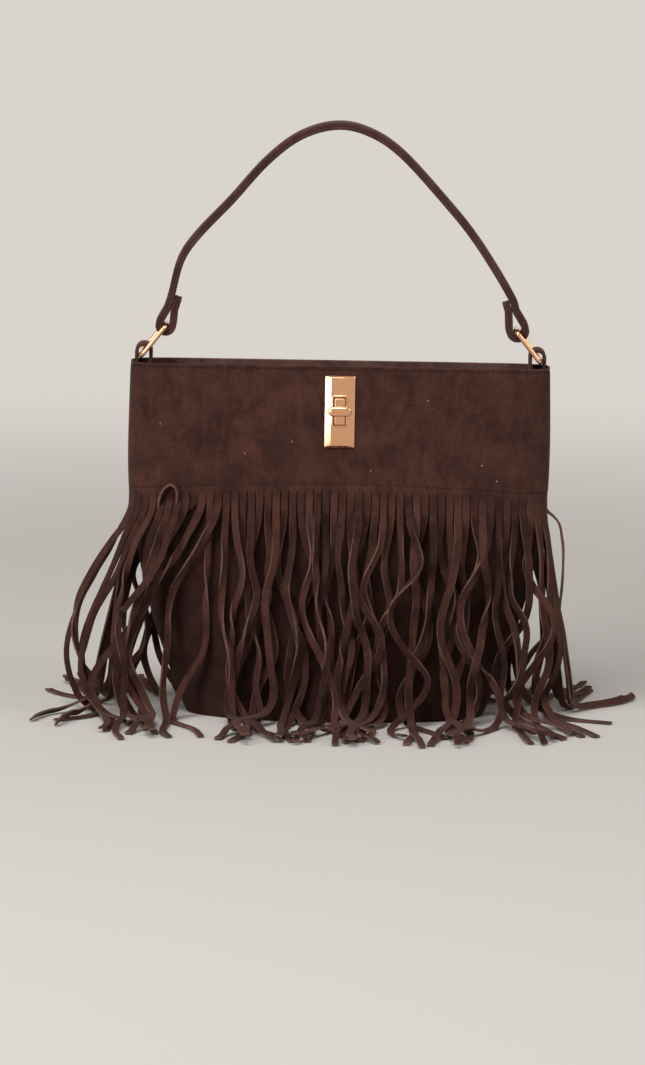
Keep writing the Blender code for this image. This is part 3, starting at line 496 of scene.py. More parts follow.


# %% [markdown]
# ### Walls and facings
# The lower wall is one piece of suede for the front and one for the back, sewn together at
# the sides, darkened as painted shade. Above them, deep facings of the same suede, paler as painted light,
# back the fringe sheet up to the rim.
# Each is a grid on the wall's formula, thickened evenly. Faces are left out where the side
# tabs and the lock pass through.

# %% Walls, facings
NOTCH_HALF = 8.6
NOTCH_FOOT = 210.9
SLOT_HALF, SLOT_RISE = 5.2, 10.8


def wall_piece(name, material, heights, distance, front, notched=False, slotted=False):
    """A sheet on the wall's formula, from seam to seam."""
    shares = np.linspace(0.0, 1.0, 181)
    share, height = np.meshgrid(shares, heights)
    points = wall_points(share, height, distance, front)
    quads = grid_quads(len(heights), len(shares), flip=not front)
    middle = points.reshape(-1, 3)[quads].mean(axis=1)
    keep = np.ones(len(quads), bool)
    if notched:
        keep &= ~((np.abs(middle[:, 1]) < NOTCH_HALF) & (middle[:, 2] > NOTCH_FOOT))
    if slotted:
        keep &= ~((np.abs(middle[:, 0]) < SLOT_HALF) & (np.abs(middle[:, 2] - LOCK_HEIGHT) < SLOT_RISE))
    obj = make_mesh_object(name, points, quads[keep], [material, cut_edge])
    give_thickness(obj, SUEDE_THICK, 1)
    return settle(obj)


panel_heights = np.linspace(PANEL_FOOT, PANEL_TOP, 64)
facing_heights = np.sort(np.append(np.linspace(FACING_FOOT, BODY_HEIGHT, 30), NOTCH_FOOT))
for front, label in ((True, "front"), (False, "back")):
    wall = wall_piece(f"{label}_wall", shaded_wall_suede, panel_heights, WALL_MID, front)
    dress(wall, "bag", "suede", f"{label}_panel")
    facing = wall_piece(f"{label}_facing_sheet", lit_facing_suede, facing_heights, WALL_MID, front, True, front)
    dress(facing, "bag", "suede", f"{label}_facing")

# %% [markdown]
# ### Lining and base
# The lining is a bucket of twill that hangs a little loose inside, so it wrinkles. It is one
# grid that runs down the wall and then shrinks over the floor to a closed pole. The base is
# an oval of suede, its lower edge turned and pressed round, over the stiff board.

# %% Lining bucket
FLOOR_ROWS = 14


def bucket_row(height, distance, shrink, count=110):
    """A closed ring of wall places, along the front and back along the back, shrunk
    towards the middle."""
    share = np.linspace(0.0, 1.0, count + 1)
    front = wall_points(share[:-1], height, distance, True, 0.0)
    back = wall_points(share[::-1][:-1], height, distance, False, 0.0)
    ring = np.concatenate([front, back])
    ring[:, :2] *= shrink
    return ring


def make_lining():
    """Wrinkles push the wall inward by up to 1.1 mm along x and as much along y: waves
    round the bag whose number and phase drift with height."""
    foot = LINING_FOOT + LINING_THICK / 2
    heights = np.linspace(LINING_TOP, foot, 46)
    shrinks = np.linspace(1.0, 0.0, FLOOR_ROWS + 1)[1:-1]
    rows = [bucket_row(height, LINING_MID, 1.0) for height in heights]
    grid = np.stack(rows + [bucket_row(foot, LINING_MID, shrink) for shrink in shrinks])
    row_count, count = grid.shape[:2]
    around = np.linspace(0, 2 * pi, count, endpoint=False)[None, :]
    down = np.concatenate([heights, np.full(len(shrinks), foot)])[:, None] / LINING_TOP
    waves = np.sin(9 * around + 3.5 * down) * np.sin(14 * around - 9 * down + 1)
    waves = waves + 0.6 * np.sin(23 * around + 11 * down)
    press = 0.5 * (1 + np.clip(waves, -1, 1)) * ease(1 - down, 0, 0.12) * ease(down, 0.03, 0.2)
    for axis, least in ((0, 60), (1, 10)):
        grid[:, :, axis] *= 1 - 1.1 * press / np.maximum(np.abs(grid[:, :, axis]), least)
    points = np.vstack([grid.reshape(-1, 3), [[0.0, 0.0, foot]]])
    quads = grid_quads(row_count, count, wrap_columns=True, flip=True)
    pole = fan((row_count - 1) * count, count, len(points) - 1, flip=True)
    obj = make_mesh_object("lining_bucket", points, [*quads, *pole], [twill])
    give_thickness(obj, LINING_THICK)
    return settle(obj, 60)


lining = make_lining()
dress(lining, "bag", "lining", "lining")

# %% Base oval and board
BASE_EDGE = 0.55


def oval_plate(name, foot, top, distance, edge, material):
    """A closed oval plate: rings from the pole underneath, round the edge, to the pole on
    top. Each ring is the base outline at some distance and shrink."""
    middle, half = (foot + top) / 2, (top - foot) / 2
    rows = [(shrink, foot, distance) for shrink in (0.35, 0.75, 0.94)]
    for turn in np.linspace(-pi / 2, pi / 2, 7):
        rows.append((1.0, middle + half * sin(turn), distance - edge * (1 - cos(turn))))
    rows += [(shrink, top, distance) for shrink in (0.94, 0.75, 0.35)]
    grid = np.stack([bucket_row(0.0, out, shrink) for shrink, _, out in rows])
    grid[:, :, 2] = np.array([height for _, height, _ in rows])[:, None]
    count = grid.shape[1]
    points = np.vstack([grid.reshape(-1, 3), [[0, 0, foot], [0, 0, top]]])
    quads = grid_quads(len(rows), count, wrap_columns=True)
    under = fan(0, count, len(points) - 2, flip=True)
    over = fan((len(rows) - 1) * count, count, len(points) - 1)
    return settle(make_mesh_object(name, points, [*quads, *under, *over], [material]))


base = oval_plate("base_oval", 0.0, SUEDE_THICK, WALL_MID + SUEDE_THICK / 2, BASE_EDGE, suede)
dress(base, "bag", "suede", "base_panel")
frame["nodes"]["base_board"].material_slots[0].material = board

# %% [markdown]
# ## The fringe sheet
# Yoke and strands are one sheet of suede: the maker slits the lower part into strips about
# 5 mm wide and sews the sheet to the wall just above the slits. The strands leave the wall
# wherever they were brushed: they lean, wave, twist, and lie over and under each other.
# Random curves alone would pass through one another, so the strands are laid one by one, as
# on a table: each one finds what lies under it and rests on that.

# %% Strand sizes and places
STRAND_WIDTH, STRAND_GAP, STRAND_LENGTH = 4.9, 0.5, 211.0
STRAND_HALF, SUEDE_HALF = STRAND_WIDTH / 2, SUEDE_THICK / 2
STRAND_COUNT = 56
WALL_SPARE = 0.8
BEND_RADIUS = 15.0
FLOOR_LEVEL = 0.5
FLOOR_REACH = 112.0
TOUCH = 0.25
FOOT_HEADING = 0.25


def cut_height(share):
    """Where the slits end, under stitches that rise a little towards the middle."""
    return CUT_HEIGHT + SEAM_ARCH * (1 - (2 * np.asarray(share) - 1) ** 2)


cut_row = read_table(TABLE_SHARES, CUT_HEIGHT)
cut_length = float(np.hypot(*np.diff(cut_row[:, :2], axis=0).T).sum())
strand_shares = (np.arange(STRAND_COUNT) + 0.5) / STRAND_COUNT
half_share = STRAND_HALF / cut_length
print("strand pitch, mm:", round(cut_length / STRAND_COUNT, 2))

# %% [markdown]
# ### How each strand swings sideways
# A strand's sideways path is told as offsets at a few distances down its length. A shared
# lean carries whole groups: those at the left of the front swing about 40 mm outward and
# leave a gap beside them. Small groups of two to four gather together, and each strand has
# its own slow wave. The outermost ones are listed one by one, because they draw the outline.

# %% Sideways paths
FALL_STEP = 0.5
FALL = np.arange(0.0, STRAND_LENGTH + 4.0, FALL_STEP)
# Distance down a strand, and the outward swing there, for the strands told one by one
FRONT_BY_HAND = {
    0: ((0, 0), (22, -5), (40, -13), (66, -28), (84, -36), (112, -41), (136, -34), (156, -20),
        (168, -24), (184, -46), (205, -52)),
    1: ((0, 0), (30, -10), (54, -22), (76, -33), (96, -35), (118, -29), (128, -21), (136, -24),
        (144, -36), (154, -50), (166, -58), (205, -62)),
    2: ((0, 0), (18, -4), (32, -14), (53, -27), (75, -37), (92, -39), (116, -32), (136, -22),
        (150, -32), (200, -52)),
    5: ((0, 0), (34, -12), (66, -20), (104, -25), (132, -20), (160, -6), (205, 6)),
    10: ((0, 0), (15, -13), (64, -27), (84, -33), (108, -41), (120, -42), (139, -34), (160, -32), (205, -22)),
    12: ((0, 0), (40, -1), (70, -2), (105, -3), (136, -19), (155, -22), (180, -8), (205, -2)),
    50: ((0, 0), (46, 5), (80, 3), (108, -14), (126, -15), (150, 0), (172, 14), (205, 24)),
    53: ((0, 0), (30, 4), (60, 6), (90, 4), (112, -2), (140, 6), (170, 24), (205, 40)),
    55: ((0, 0), (12, 6), (26, 11), (44, 12), (66, 11), (84, 8), (106, -9), (122, -15), (134, -9),
         (144, 3), (151, 19), (158, 41), (168, 58), (205, 66)),
}
BACK_BY_HAND = {
    0: ((0, 0), (30, -3), (60, -7), (90, -10), (120, -9), (146, -15), (160, -28), (172, -44),
        (186, -54), (205, -58)),
    55: ((0, 0), (30, 3), (60, 8), (90, 13), (120, 17), (146, 24), (158, 36), (170, 52),
         (184, 62), (205, 66)),
    54: ((0, 0), (30, 2), (60, 5), (90, 9), (120, 12), (146, 17), (158, 24), (172, 42),
         (186, 56), (205, 62)),
}


def through_knots(knots, at):
    """A smooth curve through knots: cubic pieces whose slopes come from the neighbours."""
    place, value = np.array(knots, float).T
    slope = np.gradient(value, place)
    index = np.clip(np.searchsorted(place, at, side="right") - 1, 0, len(place) - 2)
    span = place[index + 1] - place[index]
    t = np.clip((at - place[index]) / span, 0, 1)
    start = (1 + 2 * t) * (1 - t) ** 2 * value[index] + t * (1 - t) ** 2 * span * slope[index]
    end = t * t * (3 - 2 * t) * value[index + 1] + t * t * (t - 1) * span * slope[index + 1]
    return start + end


def lean_knots(x, front):
    """The shared lean of the strands rooted at x, as knots down their length."""
    if front:
        left = 41 * ease(-x, 70, 84) * (1 - 0.35 * np.exp(-(((-x - 114) / 9) ** 2)))
        right = 11 * ease(x, 104, 134)
        lean = right - left
        late = ((136, 0.9, 0.2), (158, 0.7, 0.6), (205, 0.75, 2.4))
        late = tuple((fall, more * right - less * left) for fall, less, more in late)
        return ((0, 0), (30, 0.25 * lean), (66, 0.68 * lean), (112, lean), *late)
    outward = np.sign(x) * (4 + 15 * ease(abs(x), 96, 134))
    shares = ((0, 0), (30, 0.15), (66, 0.5), (112, 1), (158, 1.4), (205, 2.1))
    return tuple((fall, share * outward) for fall, share in shares)


def swung(knots):
    """The offsets through the knots, straight down at first."""
    return through_knots(((0, 0), (7, 0), *knots[1:]), FALL)


def sideways_paths(front, seed):
    """One row of sideways offsets for each strand, at every step of its fall."""
    chance = np.random.default_rng(seed)
    roots = read_table(strand_shares, cut_height(strand_shares))[:, 0]
    by_hand = FRONT_BY_HAND if front else BACK_BY_HAND
    gather = np.zeros(STRAND_COUNT)
    first = 3
    while first < STRAND_COUNT - 3:
        size = int(chance.integers(2, 5))
        members = np.arange(first, min(first + size, STRAND_COUNT - 3))
        inward = (members.mean() - members) * (STRAND_WIDTH + STRAND_GAP)
        gather[members] = inward * chance.uniform(0.25, 0.75)
        gather[members] += chance.normal(0, 3.5)
        first += size
    paths = []
    for index, x in enumerate(roots):
        loose = float(ease(min(index, STRAND_COUNT - 1 - index), 1, 6))
        length, phase = chance.uniform(84, 150), chance.uniform(0, 2 * pi)
        swing = chance.uniform(2.0, 6.5) + 11.0 * chance.random() ** 4
        short, short_phase = chance.uniform(38, 60), chance.uniform(0, 2 * pi)
        small = chance.uniform(0.4, 1.7)
        drift, late = chance.normal(0, 4.5), chance.normal(0, 13.0)
        if index in by_hand:
            paths.append(swung(by_hand[index]))
            continue
        path = swung(lean_knots(x, front))
        path = path + gather[index] * ease(FALL, 20, 115)
        wave = np.sin(2 * pi * FALL / length + phase) - sin(phase) * (1 - ease(FALL, 0, 60))
        ripple = np.sin(2 * pi * FALL / short + short_phase)
        path = path + loose * swing * ease(FALL, 8, 70) * wave
        path = path + loose * small * ease(FALL, 20, 70) * ripple
        path = path + loose * (drift * ease(FALL, 30, 140) + late * ease(FALL, 128, 205))
        paths.append(path)
    return roots, np.array(paths), chance


# %% [markdown]
# ### Resting on what lies beneath
# Two height maps remember what has been laid: one for the hanging part, told by place across
# and height, which holds how far out the outermost suede stands, and one for the floor. Both
# have cells of 0.7 mm. A strand reads the maps under its own footprint, takes the highest
# value it meets within a few millimetres, smooths that, and then adds its own thickness. How
# much room it takes depends on its twist: flat it is 1.4 mm thick, on edge 4.9.

# %% Height maps
CELL = 0.7
MAP_LEFT, MAP_REACH, MAP_TOP = -215.0, 150.0, 165.0
FOOTPRINT = np.stack(np.meshgrid(np.arange(-5, 6), np.arange(-5, 6)), axis=-1).reshape(-1, 2)


def new_map(depth):
    """An empty map, as wide as the fringe and as deep as told."""
    return np.zeros((int(-2 * MAP_LEFT / CELL), int(depth / CELL)))


def cells_under(pile, across, along, reach):
    """The cells within reach of each point, and which of them count."""
    column = np.rint((across - MAP_LEFT) / CELL).astype(int)[:, None] + FOOTPRINT[None, :, 0]
    row = np.rint(along / CELL).astype(int)[:, None] + FOOTPRINT[None, :, 1]
    near = np.hypot(FOOTPRINT[:, 0], FOOTPRINT[:, 1])[None, :] * CELL <= np.minimum(reach, 3.2)[:, None]
    inside = (column >= 0) & (column < pile.shape[0]) & (row >= 0) & (row < pile.shape[1])
    return np.clip(column, 0, pile.shape[0] - 1), np.clip(row, 0, pile.shape[1] - 1), near & inside


def level_under(pile, across, along, reach):
    """The highest level under each point's footprint."""
    column, row, counts = cells_under(pile, across, along, reach)
    return np.where(counts, pile[column, row], 0.0).max(axis=1)


def lay_down(pile, across, along, reach, level):
    """Raises the map to the strand's outer face under its footprint."""
    column, row, counts = cells_under(pile, across, along, reach)
    np.maximum.at(pile, (column[counts], row[counts]), np.broadcast_to(level[:, None], counts.shape)[counts])


def resting(level, window):
    """The level raised to the highest within a window, then averaged over the same
    window, so it stays clear of what it rests on and has no corners."""
    steps = int(window / FALL_STEP)
    padded = np.pad(level, steps, mode="edge")
    highest = np.lib.stride_tricks.sliding_window_view(padded, 2 * steps + 1).max(axis=1)
    padded = np.pad(highest, steps, mode="edge")
    weights = np.hanning(2 * steps + 3)[1:-1]
    return np.convolve(padded, weights / weights.sum(), mode="valid")


# %% [markdown]
# A hanging strand leans on the wall where the wall comes forward, and hangs free where it
# draws back. At the floor it bends through a quarter circle and runs outward. The strands
# by the side seams face sideways at their roots and turn to face forward as they fall.

# %% Wall depth under a hanging strand
DEPTH_PLACES = np.arange(0.0, 216.0, 1.0)


def depth_map(distance):
    """How far forward the wall stands, for each level and place across."""
    rows = []
    for level in range(len(TABLE_HEIGHTS)):
        row = WALL[level, 300:]
        x, y = row[:, 0] + (distance - SHEET_MID) * row[:, 2], row[:, 1] + (distance - SHEET_MID) * row[:, 3]
        rows.append(np.interp(DEPTH_PLACES, x, -y, right=0.0))
    return np.array(rows)


SHEET_DEPTH = depth_map(SHEET_MID)


def wall_depth(x, height):
    """The depth map read at places, straight between its levels."""
    row = np.clip(height / BODY_HEIGHT, 0, 1) * (len(TABLE_HEIGHTS) - 1)
    low = np.minimum(row.astype(int), len(TABLE_HEIGHTS) - 2)
    place = np.clip(np.abs(x), 0, 214)
    left = place.astype(int)
    part, up = place - left, row - low
    below = SHEET_DEPTH[low, left] * (1 - part) + SHEET_DEPTH[low, left + 1] * part
    above = SHEET_DEPTH[low + 1, left] * (1 - part) + SHEET_DEPTH[low + 1, left + 1] * part
    return below * (1 - up) + above * up


# %% One strand's way down and out
QUARTER = BEND_RADIUS * pi / 2


def lay_strand(share, offsets, twist, length, hanging, lying):
    """Lays one strand of the front: its middle points, the directions across it, and the
    map entries it leaves. Hanging: depth is what it rests on. Floor: height likewise."""
    root = read_table(share, cut_height(share))
    cut = float(cut_height(share))
    x = root[0] + offsets
    run_length = np.concatenate([[0.0], np.cumsum(np.hypot(np.diff(x), FALL_STEP))])
    last = int(np.searchsorted(run_length, length))
    x, twist, fall = x[:last], twist[:last], FALL[:last]
    height = cut - fall
    fallen = np.clip(fall / (cut - BEND_RADIUS), 0, 1)
    heading = atan2(root[2], -root[3]) * (1 - (1 - FOOT_HEADING) * fallen**3)
    turned = heading - twist
    half_across = np.abs(np.cos(turned)) * STRAND_HALF + np.abs(np.sin(turned)) * SUEDE_HALF
    half_deep = np.abs(np.sin(turned)) * STRAND_HALF + np.abs(np.cos(turned)) * SUEDE_HALF
    wall = wall_depth(x, height) + ease(fall, 0, 26) * WALL_SPARE
    own = np.abs(np.sin(heading)) * STRAND_HALF + np.abs(np.cos(heading)) * SUEDE_HALF
    base = np.maximum.accumulate(np.maximum(-root[1], wall)) + np.maximum(half_deep - own, 0)
    pile = level_under(hanging, x, np.clip(height, 0, MAP_TOP - 1), half_across + TOUCH) + half_deep + TOUCH
    depth = resting(np.maximum(base, pile), 7.0)
    depth = -root[1] + (depth + root[1]) * ease(fall, 0, 16)
    flat_across = np.abs(np.cos(twist)) * STRAND_HALF + np.abs(np.sin(twist)) * SUEDE_HALF
    flat_high = np.abs(np.sin(twist)) * STRAND_HALF + np.abs(np.cos(twist)) * SUEDE_HALF
    landing = int(np.argmin(np.abs(height - BEND_RADIUS - 1)))
    landed = min(landing + int(QUARTER / FALL_STEP), last - 1)
    reach = depth[landing] + BEND_RADIUS + np.maximum(fall - fall[landed], 0)
    under = level_under(lying, x, np.clip(reach, 0, MAP_REACH - 1), flat_across + TOUCH)
    level = resting(np.maximum(under + TOUCH / 2, FLOOR_LEVEL)[landed:] + flat_high[landed:], 5.0)
    hang = cut - level[0] - BEND_RADIUS
    bend = np.clip((fall - hang) / QUARTER, 0, 1) * pi / 2
    run = np.maximum(fall - hang - QUARTER, 0)
    out = np.where(fall < hang, depth, np.interp(hang, fall, depth)) + BEND_RADIUS * (1 - np.cos(bend)) + run
    last = min(last, int(np.searchsorted(out, FLOOR_REACH)))
    rest = np.interp(fall, fall[landed:], level)
    up = np.where(fall < hang, height, rest + BEND_RADIUS * (1 - np.sin(bend)))
    falls = height > BEND_RADIUS
    lay_down(hanging, x[falls], height[falls], half_across[falls], (depth + half_deep)[falls])
    lies = up < 6.0
    lay_down(lying, x[lies], np.clip(out, 0, MAP_REACH - 1)[lies], flat_across[lies], (up + flat_high)[lies])
    middle = np.stack([x, -out - SEAM_GAP / 2, up], axis=1)
    return middle[:last], heading[:last], bend[:last], twist[:last]


# %% [markdown]
# The ribbon's direction across is square to its path and to the way it faces, then turned
# by its twist. Three points across, the middle one raised a fraction, give each strand the
# slight cupping that cut suede takes.

# %% From a path to a ribbon
STATION = 3.4


def ribbon(middle, heading, bend, twist, cup, half_width):
    """Stations spaced evenly along the path: left edge, middle and right edge of each. Past
    its slit a strand draws in to its own half width, so the slits open into wedges."""
    length = np.concatenate([[0.0], np.cumsum(np.linalg.norm(np.diff(middle, axis=0), axis=1))])
    stations = np.linspace(0.0, length[-1], int(length[-1] / STATION) + 1)
    travel = np.gradient(middle, length, axis=0)
    zero = np.zeros_like(heading)
    faces = np.stack([np.sin(heading), -np.cos(heading), zero], axis=1) * np.cos(bend)[:, None]
    faces = faces + np.stack([zero, zero, np.sin(bend)], axis=1)
    columns = np.concatenate([middle, travel, faces, twist[:, None]], axis=1)
    told = np.stack([np.interp(stations, length, column) for column in columns.T], axis=1)
    middle, travel, faces, twist = told[:, :3], told[:, 3:6], told[:, 6:9], told[:, 9:]
    travel /= np.linalg.norm(travel, axis=1, keepdims=True)
    across = np.cross(faces, travel)
    across /= np.linalg.norm(across, axis=1, keepdims=True)
    normal = np.cross(travel, across)
    turned = np.cos(twist) * across + np.sin(twist) * normal
    raised = np.cross(travel, turned) * (cup * ease(stations, 4, 30))[:, None]
    edge = turned * (STRAND_HALF + (half_width - STRAND_HALF) * ease(stations, 0, 18))[:, None]
    return np.stack([middle - edge, middle + raised, middle + edge], axis=1)


def twist_along(chance, index):
    """A strand lies flat at its slit. Further down it wavers, and two in five turn over."""
    turn = chance.choice([0, 0, 0, 1, -1]) * pi
    start = chance.uniform(25, 90)
    waver, length, phase = chance.uniform(0.15, 0.95), chance.uniform(60, 120), chance.uniform(0, 2 * pi)
    quiet = 1 - 0.75 * ease(FALL, 130, 160)
    wave = waver * quiet * (np.sin(2 * pi * FALL / length + phase) - sin(phase) * (1 - ease(FALL, 0, 50)))
    return ease(FALL, 6, 40) * wave + turn * ease(FALL, start, start + chance.uniform(40, 70))


# %% [markdown]
# ### Yoke
# The yoke is a grid whose columns match the strands: three to a strand, so each ribbon
# continues from the sheet without a seam, and the slits end between them. Its rows crowd at
# the two lines of stitches, where the sheet is pulled in half a millimetre.

# %% Yoke rows
# Each row: share of the way from the slits to the rim, and an offset from there
STITCH_RISE, RIM_STITCH_DROP = CUT_BELOW_SEAM, 2.2
YOKE_ROWS = [(0.0, offset) for offset in (0.0, 1.6, 2.8, 3.5, 4.0, 4.5, 5.2, 7.0, 9.5)]
YOKE_ROWS += [(share, 0.0) for share in np.linspace(0.15, 0.92, 24)]
YOKE_ROWS += [(1.0, -offset) for offset in (4.6, 3.4, 2.7, 2.2, 1.7, 1.1, 0.5, 0.0)]
STITCH_PULL = 0.5
RIM_CLOSE = 0.2


def yoke_heights(share):
    """The height of each row at each share: rows by columns."""
    foot = cut_height(share)[None, :]
    part, offset = np.array(YOKE_ROWS).T[:, :, None]
    return foot + part * (BODY_HEIGHT - foot) + offset


def yoke_distance(share, height):
    """The sheet's distance outside the lining's face: pulled in at the stitches, and
    closing on the facing at the rim."""
    seam = height - cut_height(share)[None, :] - STITCH_RISE
    rim = BODY_HEIGHT - height - RIM_STITCH_DROP
    pull = STITCH_PULL * (np.exp(-((seam / 0.7) ** 2)) + np.exp(-((rim / 0.7) ** 2)))
    return SHEET_MID - pull - RIM_CLOSE * ease(height, BODY_HEIGHT - 5, BODY_HEIGHT - 1)


# %% [markdown]
# ### One curled strand
# Near the left end one strand has been brushed up over the stitches, so it stands on its
# edge in a small arch.

# %% Curled strand
ARCH = ((-117.5, 140.0), (-116.9, 146.0), (-114.8, 152.4), (-111.2, 156.4), (-107.6, 156.0),
        (-105.4, 151.0), (-106.4, 142.0))


def share_at(x, height):
    """The share of the wall's length at which it passes a place across, at a height."""
    return np.interp(x, read_table(TABLE_SHARES, height)[:, 0], TABLE_SHARES)


def curled_strand():
    """An arch over the wall: the strip's thickness lies in the arch's plane, and its width
    stands out from the wall. The ends dip in among the other strands."""
    knots = np.array(ARCH)
    at = np.linspace(0, len(knots) - 1, 49)
    x, height = (through_knots(np.stack([np.arange(len(knots)), column], axis=1), at) for column in knots.T)
    share = np.array([share_at(*place) for place in zip(x, height)])
    outward = wall_outward(share, height)
    dip = 2.2 * (1 - ease(at, 0, 1.2)) + 2.2 * ease(at, 4.8, 6)
    inner = wall_points(share, height, SHELL + 0.9, True) - dip[:, None] * outward
    points = np.stack([inner, inner + 2.2 * outward, inner + 4.4 * outward], axis=1)
    obj = make_mesh_object("curled_strand", points, grid_quads(len(at), 3).tolist(), [suede, cut_edge])
    give_thickness(obj, SUEDE_THICK, 1)
    return settle(obj)


curl = curled_strand()
dress(curl, "bag", "suede")

# %% [markdown]
# ### Yoke and strands together
# The sheet's grid comes first. Then the strands are laid, the ones by the seams first and
# the rest in a random order, and each is tied to its three columns of the grid.

# %% Build a fringe sheet


def fringe_sheet(name, front, seed):
    """The yoke's grid, then each strand's stations, hung from the yoke's lowest row."""
    columns = strand_shares[:, None] + half_share * np.array([-1, 0, 1])
    columns = np.clip(columns.ravel(), 0.0, 1.0)
    heights = yoke_heights(columns)
    share = np.broadcast_to(columns, heights.shape)
    yoke = wall_points(share, heights, yoke_distance(columns, heights), front)
    yoke[0] = wall_points(columns, heights[0], SHEET_MID, front)
    quads = grid_quads(*heights.shape, flip=not front)
    centre = yoke.reshape(-1, 3)[quads].mean(axis=1)
    if front:
        hole = (np.abs(centre[:, 0]) < SLOT_HALF) & (np.abs(centre[:, 2] - LOCK_HEIGHT) < SLOT_RISE)
        quads = quads[~hole]
    roots, paths, chance = sideways_paths(front, seed)
    hanging, lying = new_map(MAP_TOP), new_map(MAP_REACH)
    ends = [index for pair in zip(range(6), range(STRAND_COUNT - 1, STRAND_COUNT - 7, -1)) for index in pair]
    middle_order = chance.permutation(np.arange(6, STRAND_COUNT - 6)).tolist()
    points, faces = [yoke.reshape(-1, 3)], [quads]
    tones = [np.zeros(yoke.shape[0] * yoke.shape[1])]
    total = yoke.shape[0] * yoke.shape[1]
    for index in [*ends, *middle_order]:
        calm = float(ease(min(index, STRAND_COUNT - 1 - index), 0, 5))
        twist = twist_along(chance, index) * max(calm, 0.25)
        length = STRAND_LENGTH + chance.uniform(-4, 2)
        laid = lay_strand(strand_shares[index], paths[index], twist, length, hanging, lying)
        cup = chance.choice([-1, 1]) * chance.uniform(0.2, 0.5)
        strand = ribbon(*laid, cup, chance.uniform(2.05, 2.45))[1:]
        if not front:
            strand[..., 1] *= -1
        above = 3 * index + np.arange(3)
        rows = np.vstack([above, total + np.arange(len(strand) * 3).reshape(-1, 3)])
        for side in (0, 1):
            left, right = rows[:, side], rows[:, side + 1]
            strip = np.stack([left[1:], right[1:], right[:-1], left[:-1]], axis=1)
            faces.append(strip if front else strip[:, ::-1])
        points.append(strand.reshape(-1, 3))
        tones.append(np.full(len(strand) * 3, chance.uniform(-1, 1)))
        total += len(strand) * 3
    obj = make_mesh_object(name, np.vstack(points), np.vstack(faces).tolist(), [suede, cut_edge])
    tone = obj.data.attributes.new("strand_tone", "FLOAT", "POINT")
    tone.data.foreach_set("value", np.concatenate(tones).astype(np.float32))
    give_thickness(obj, SUEDE_THICK, 1)
    print(f"{name}: deepest pile {hanging.max():.1f} mm out, floor pile {lying.max():.1f} mm high")
    return settle(obj)


for front, label, seed in ((True, "front", 11), (False, "back", 23)):
    sheet = fringe_sheet(f"{label}_fringe", front, seed)
    dress(sheet, "bag", "suede", f"{label}_fringe_panel")

# %% [markdown]
# ### Stitches
# A lock stitch shows on the face as short dashes of thread, each sunk at both ends into a
# needle hole. Every stitch is the same small spindle of two dozen faces, so all of a row's
# stitches are one array: middles, directions along the row and outward.

# %% Stitch rows
STITCH_PITCH, STITCH_LENGTH, THREAD_RADIUS = 3.3, 2.1, 0.5


def spindle_row(name, middles, along, outward, length, radius, material):
    """Spindles: three rings of six points between two closed tips."""
    turn = np.arange(6) * pi / 3
    over = np.cross(along, outward)
    rings = []
    for place, width in ((-0.32, 0.8), (0.0, 1.0), (0.32, 0.8)):
        centre = middles + place * length * along
        ring = centre[:, None] + radius * width * (
            np.cos(turn)[None, :, None] * over[:, None] + np.sin(turn)[None, :, None] * outward[:, None]
        )
        rings.append(ring)
    tips = [middles + end * length / 2 * along - 0.8 * radius * outward for end in (-1, 1)]
    one = np.concatenate([*rings, tips[0][:, None], tips[1][:, None]], axis=1)
    faces = grid_quads(3, 6, wrap_columns=True, flip=True).tolist()
    faces += fan(0, 6, 18) + fan(12, 6, 19, flip=True)
    every = [[corner + 20 * stitch for corner in face] for stitch in range(len(middles)) for face in faces]
    return dress(settle(make_mesh_object(name, one, every, [material]), 80), "bag", "suede")


def seam_line(share):
    """The height of the stitches over the slits."""
    return cut_height(share) + STITCH_RISE


def rim_line(share):
    """The height of the stitches under the rim."""
    return np.full(len(share), BODY_HEIGHT - RIM_STITCH_DROP)


def wall_stitches(name, front, height_at):
    """A row of stitches along the wall, at a line of heights."""
    count = int(cut_length / STITCH_PITCH)
    share = (np.arange(count) + 0.5) / count
    share = share[(share > 0.008) & (share < 0.992)]
    distance = SHELL - STITCH_PULL - 0.05
    before, middles, after = (
        wall_points(share + step, height_at(share + step), distance, front) for step in (-0.002, 0.0, 0.002)
    )
    along = after - before
    along /= np.linalg.norm(along, axis=1, keepdims=True)
    outward = wall_outward(share, height_at(share), front)
    return spindle_row(name, middles, along, outward, STITCH_LENGTH, THREAD_RADIUS, thread)


for front, label in ((True, "front"), (False, "back")):
    wall_stitches(f"{label}_seam_stitches", front, seam_line)
    wall_stitches(f"{label}_rim_stitches", front, rim_line)

# %% [markdown]
# ### Lint
# Suede picks up lint: a few pale fibres a millimetre or two long lie where the photograph
# shows them.

# %% Lint
LINT = ((94.0, 172.3), (104.0, 162.0), (-31.0, 186.0), (-62.0, 178.0), (58.0, 214.0),
        (-118.0, 196.0), (21.0, 168.0))


def make_lint():
    """Pale fibres at told places, each in its own direction."""
    material, tree, shader, place = start_material("cotton lint")
    paint(tree, shader, noise(tree, place, 2500.0, 2.0), linear("#8f7a72"), linear("#d8cac2"))
    shader.inputs["Roughness"].default_value = 1.0
    chance = np.random.default_rng(5)
    share = np.array([share_at(*spot) for spot in LINT])
    height = np.array(LINT)[:, 1]
    outward = wall_outward(share, height)
    level = np.cross(outward, [0.0, 0.0, 1.0])
    angle = chance.uniform(0, pi, len(LINT))[:, None]
    along = np.cos(angle) * level + np.sin(angle) * np.array([0.0, 0.0, 1.0])
    return spindle_row("lint", wall_points(share, height, SHELL + 0.1), along, outward, 1.7, 0.22, material)


make_lint()

# %% [markdown]
# ## Straps
# Tabs, handle and closure tongue are straps of suede: a flat profile with softened edges,
# carried along a path. The path is drawn in one plane, and the profile's width stands
# square to that plane. The ends are closed to a point at the middle of the profile.

# %% Carrying a profile along a path


